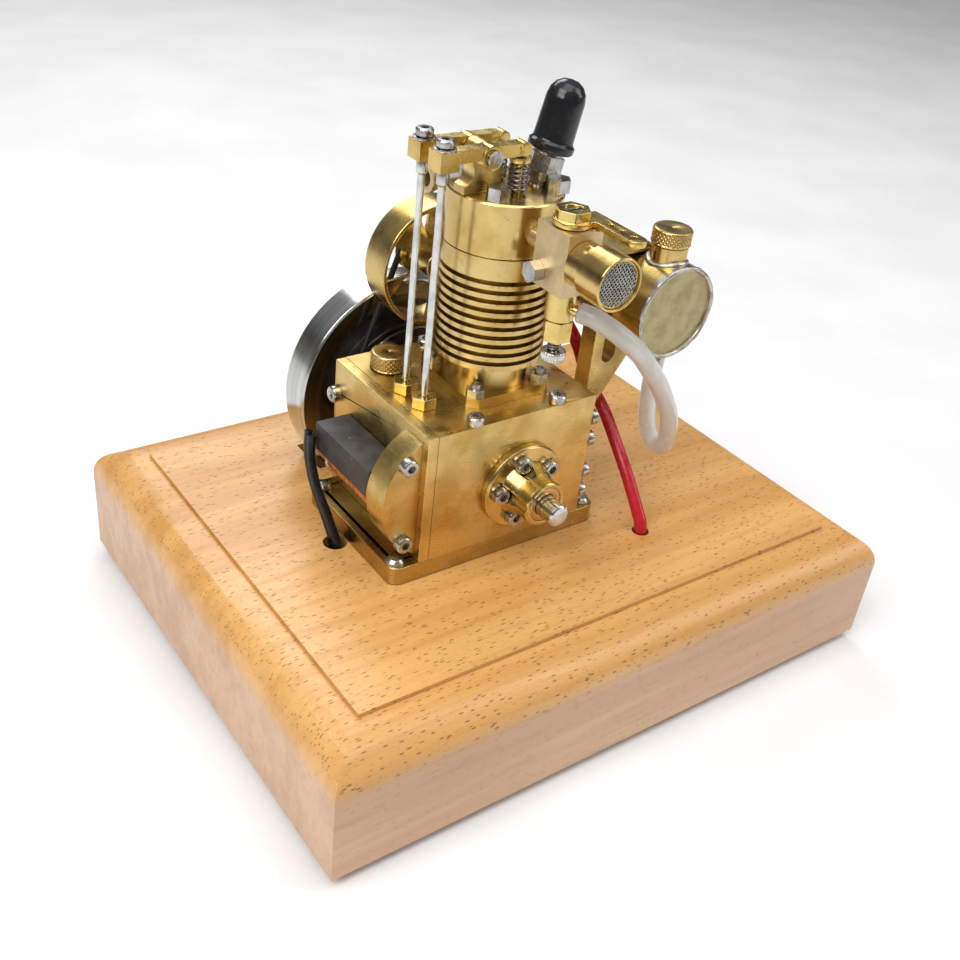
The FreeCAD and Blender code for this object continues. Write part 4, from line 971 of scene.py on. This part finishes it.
def solder_seams():
    """Solder beads round the tank's ends and at the filler neck's foot."""
    x, _, z = tank_axis
    steps, inset = 120, 0.25
    for label, place in (("front", tank_low.y + inset), ("back", tank_high.y - inset)):
        path = []
        for i in range(steps):
            angle = FULL * i / steps
            reach = tank_radius - 0.45 + 0.06 * math.sin(5 * angle) + 0.05 * math.sin(11 * angle + 1)
            path.append((x + reach * math.cos(angle), place, z + reach * math.sin(angle)))
        bead = sweep(path, end_bead, 10, closed=True)
        make("tank_solder_" + label, bead, SOLDER, "frame")

    neck_x, neck_y = upright_axis("tank_filler_cap")[:2]
    steps, reach = 72, 4.25
    path = []
    for i in range(steps):
        angle = FULL * i / steps
        dx = reach * math.cos(angle)
        height = z + math.sqrt(tank_radius ** 2 - dx ** 2) + 0.05
        path.append((neck_x + dx, neck_y + reach * math.sin(angle), height))
    make("neck_solder", sweep(path, neck_bead, 10, closed=True), SOLDER, "frame")


fan()
filler_cap("tank_cap", 4.45, 3.7, 3.1, 26)
filler_cap("oil_cap", 4.1, 3.9, 2.0, 24)
needle_knob()
valve_spring("intake")
valve_spring("exhaust")
woven_mesh()
hose()
winding()
solder_seams()


# ---------------------------------------------------------------- stage

def floor():
    """A plain pale floor, in metres, under the rubber feet."""
    half = 3.0
    mesh = bpy.data.meshes.new("floor")
    corners = [(-half, -half, 0), (half, -half, 0), (half, half, 0), (-half, half, 0)]
    mesh.from_pydata([Vector(corner) for corner in corners], [], [(0, 1, 2, 3)])
    paint = Paint("pale_floor")
    cloud = paint.noise(60, detail=3)
    colour = paint.mix(paint.band(cloud, 0.3, 0.7), (0.86, 0.86, 0.865), (0.80, 0.80, 0.81))
    relief = paint.bump(paint.noise(3, detail=3), 0.15)
    mesh.materials.append(paint.shine(Base_Color=colour, Roughness=0.7, Normal=relief))
    piece = bpy.data.objects.new("floor", mesh)
    bpy.context.scene.collection.objects.link(piece)


def lamp(name, azimuth, elevation, distance, size, power, colour=(1, 1, 1)):
    """A soft square lamp aimed at the engine. Azimuth 0 stands in front."""
    data = bpy.data.lights.new(name, "AREA")
    data.shape = "RECTANGLE"
    data.size, data.size_y = size
    data.energy = power
    data.color = colour
    piece = bpy.data.objects.new(name, data)
    a, e = math.radians(azimuth), math.radians(elevation)
    back = Vector((math.sin(a) * math.cos(e), -math.cos(a) * math.cos(e), math.sin(e)))
    target = Vector((0, 0, 60)) * MM
    piece.location = target + back * distance
    piece.rotation_mode = "QUATERNION"
    piece.rotation_quaternion = back.to_track_quat("Z", "Y")
    bpy.context.scene.collection.objects.link(piece)


def sky():
    """Soft surround: white overhead, dark just above the horizon, warm grey at the horizon."""
    strength = 0.37
    world = bpy.data.worlds.new("studio")
    bpy.context.scene.world = world
    world.use_nodes = True
    tree = world.node_tree
    tree.nodes.clear()
    coordinates = tree.nodes.new("ShaderNodeTexCoord")
    split = tree.nodes.new("ShaderNodeSeparateXYZ")
    ramp = tree.nodes.new("ShaderNodeValToRGB")
    background = tree.nodes.new("ShaderNodeBackground")
    output = tree.nodes.new("ShaderNodeOutputWorld")
    stops = ramp.color_ramp.elements
    stops[0].position, stops[0].color = 0.0, (0.62, 0.58, 0.52, 1)
    stops[1].position, stops[1].color = 1.0, (1.0, 1.0, 1.0, 1)
    middle = stops.new(0.22)
    middle.color = (0.20, 0.19, 0.18, 1)
    upper = stops.new(0.5)
    upper.color = (0.78, 0.78, 0.79, 1)
    tree.links.new(coordinates.outputs["Generated"], split.inputs[0])
    tree.links.new(split.outputs[2], ramp.inputs[0])
    tree.links.new(ramp.outputs[0], background.inputs[0])
    background.inputs[1].default_value = strength
    tree.links.new(background.outputs[0], output.inputs[0])


def camera():
    """The photograph's view: in front and to the left, looking down, a little tilted."""
    azimuth, elevation, roll = math.radians(-38.9), math.radians(33.2), math.radians(6.93)
    place = (-0.1478, -0.1797, 0.1863)
    data = bpy.data.cameras.new("camera")
    data.lens = 43.59
    data.sensor_width = 36
    data.clip_start = 0.01
    piece = bpy.data.objects.new("camera", data)
    back = Vector((
        math.sin(azimuth) * math.cos(elevation),
        -math.cos(azimuth) * math.cos(elevation),
        math.sin(elevation)))
    level = (-back).to_track_quat("-Z", "Y")
    piece.rotation_mode = "QUATERNION"
    piece.rotation_quaternion = level @ Quaternion((0, 0, 1), roll)
    piece.location = place
    bpy.context.scene.collection.objects.link(piece)
    bpy.context.scene.camera = piece


floor()
# azimuth, elevation in degrees, distance and size in metres, power in watts
lamp("key", -75, 48, 0.7, (0.45, 0.45), 3.7)
lamp("top", 20, 80, 0.8, (0.6, 0.6), 2.6)
lamp("fill", 55, 30, 0.9, (0.35, 0.7), 2.2, (1.0, 0.97, 0.93))
lamp("rim", 165, 40, 0.8, (0.5, 0.3), 2.0)
sky()
camera()
bpy.context.scene.view_settings.view_transform = "Standard"
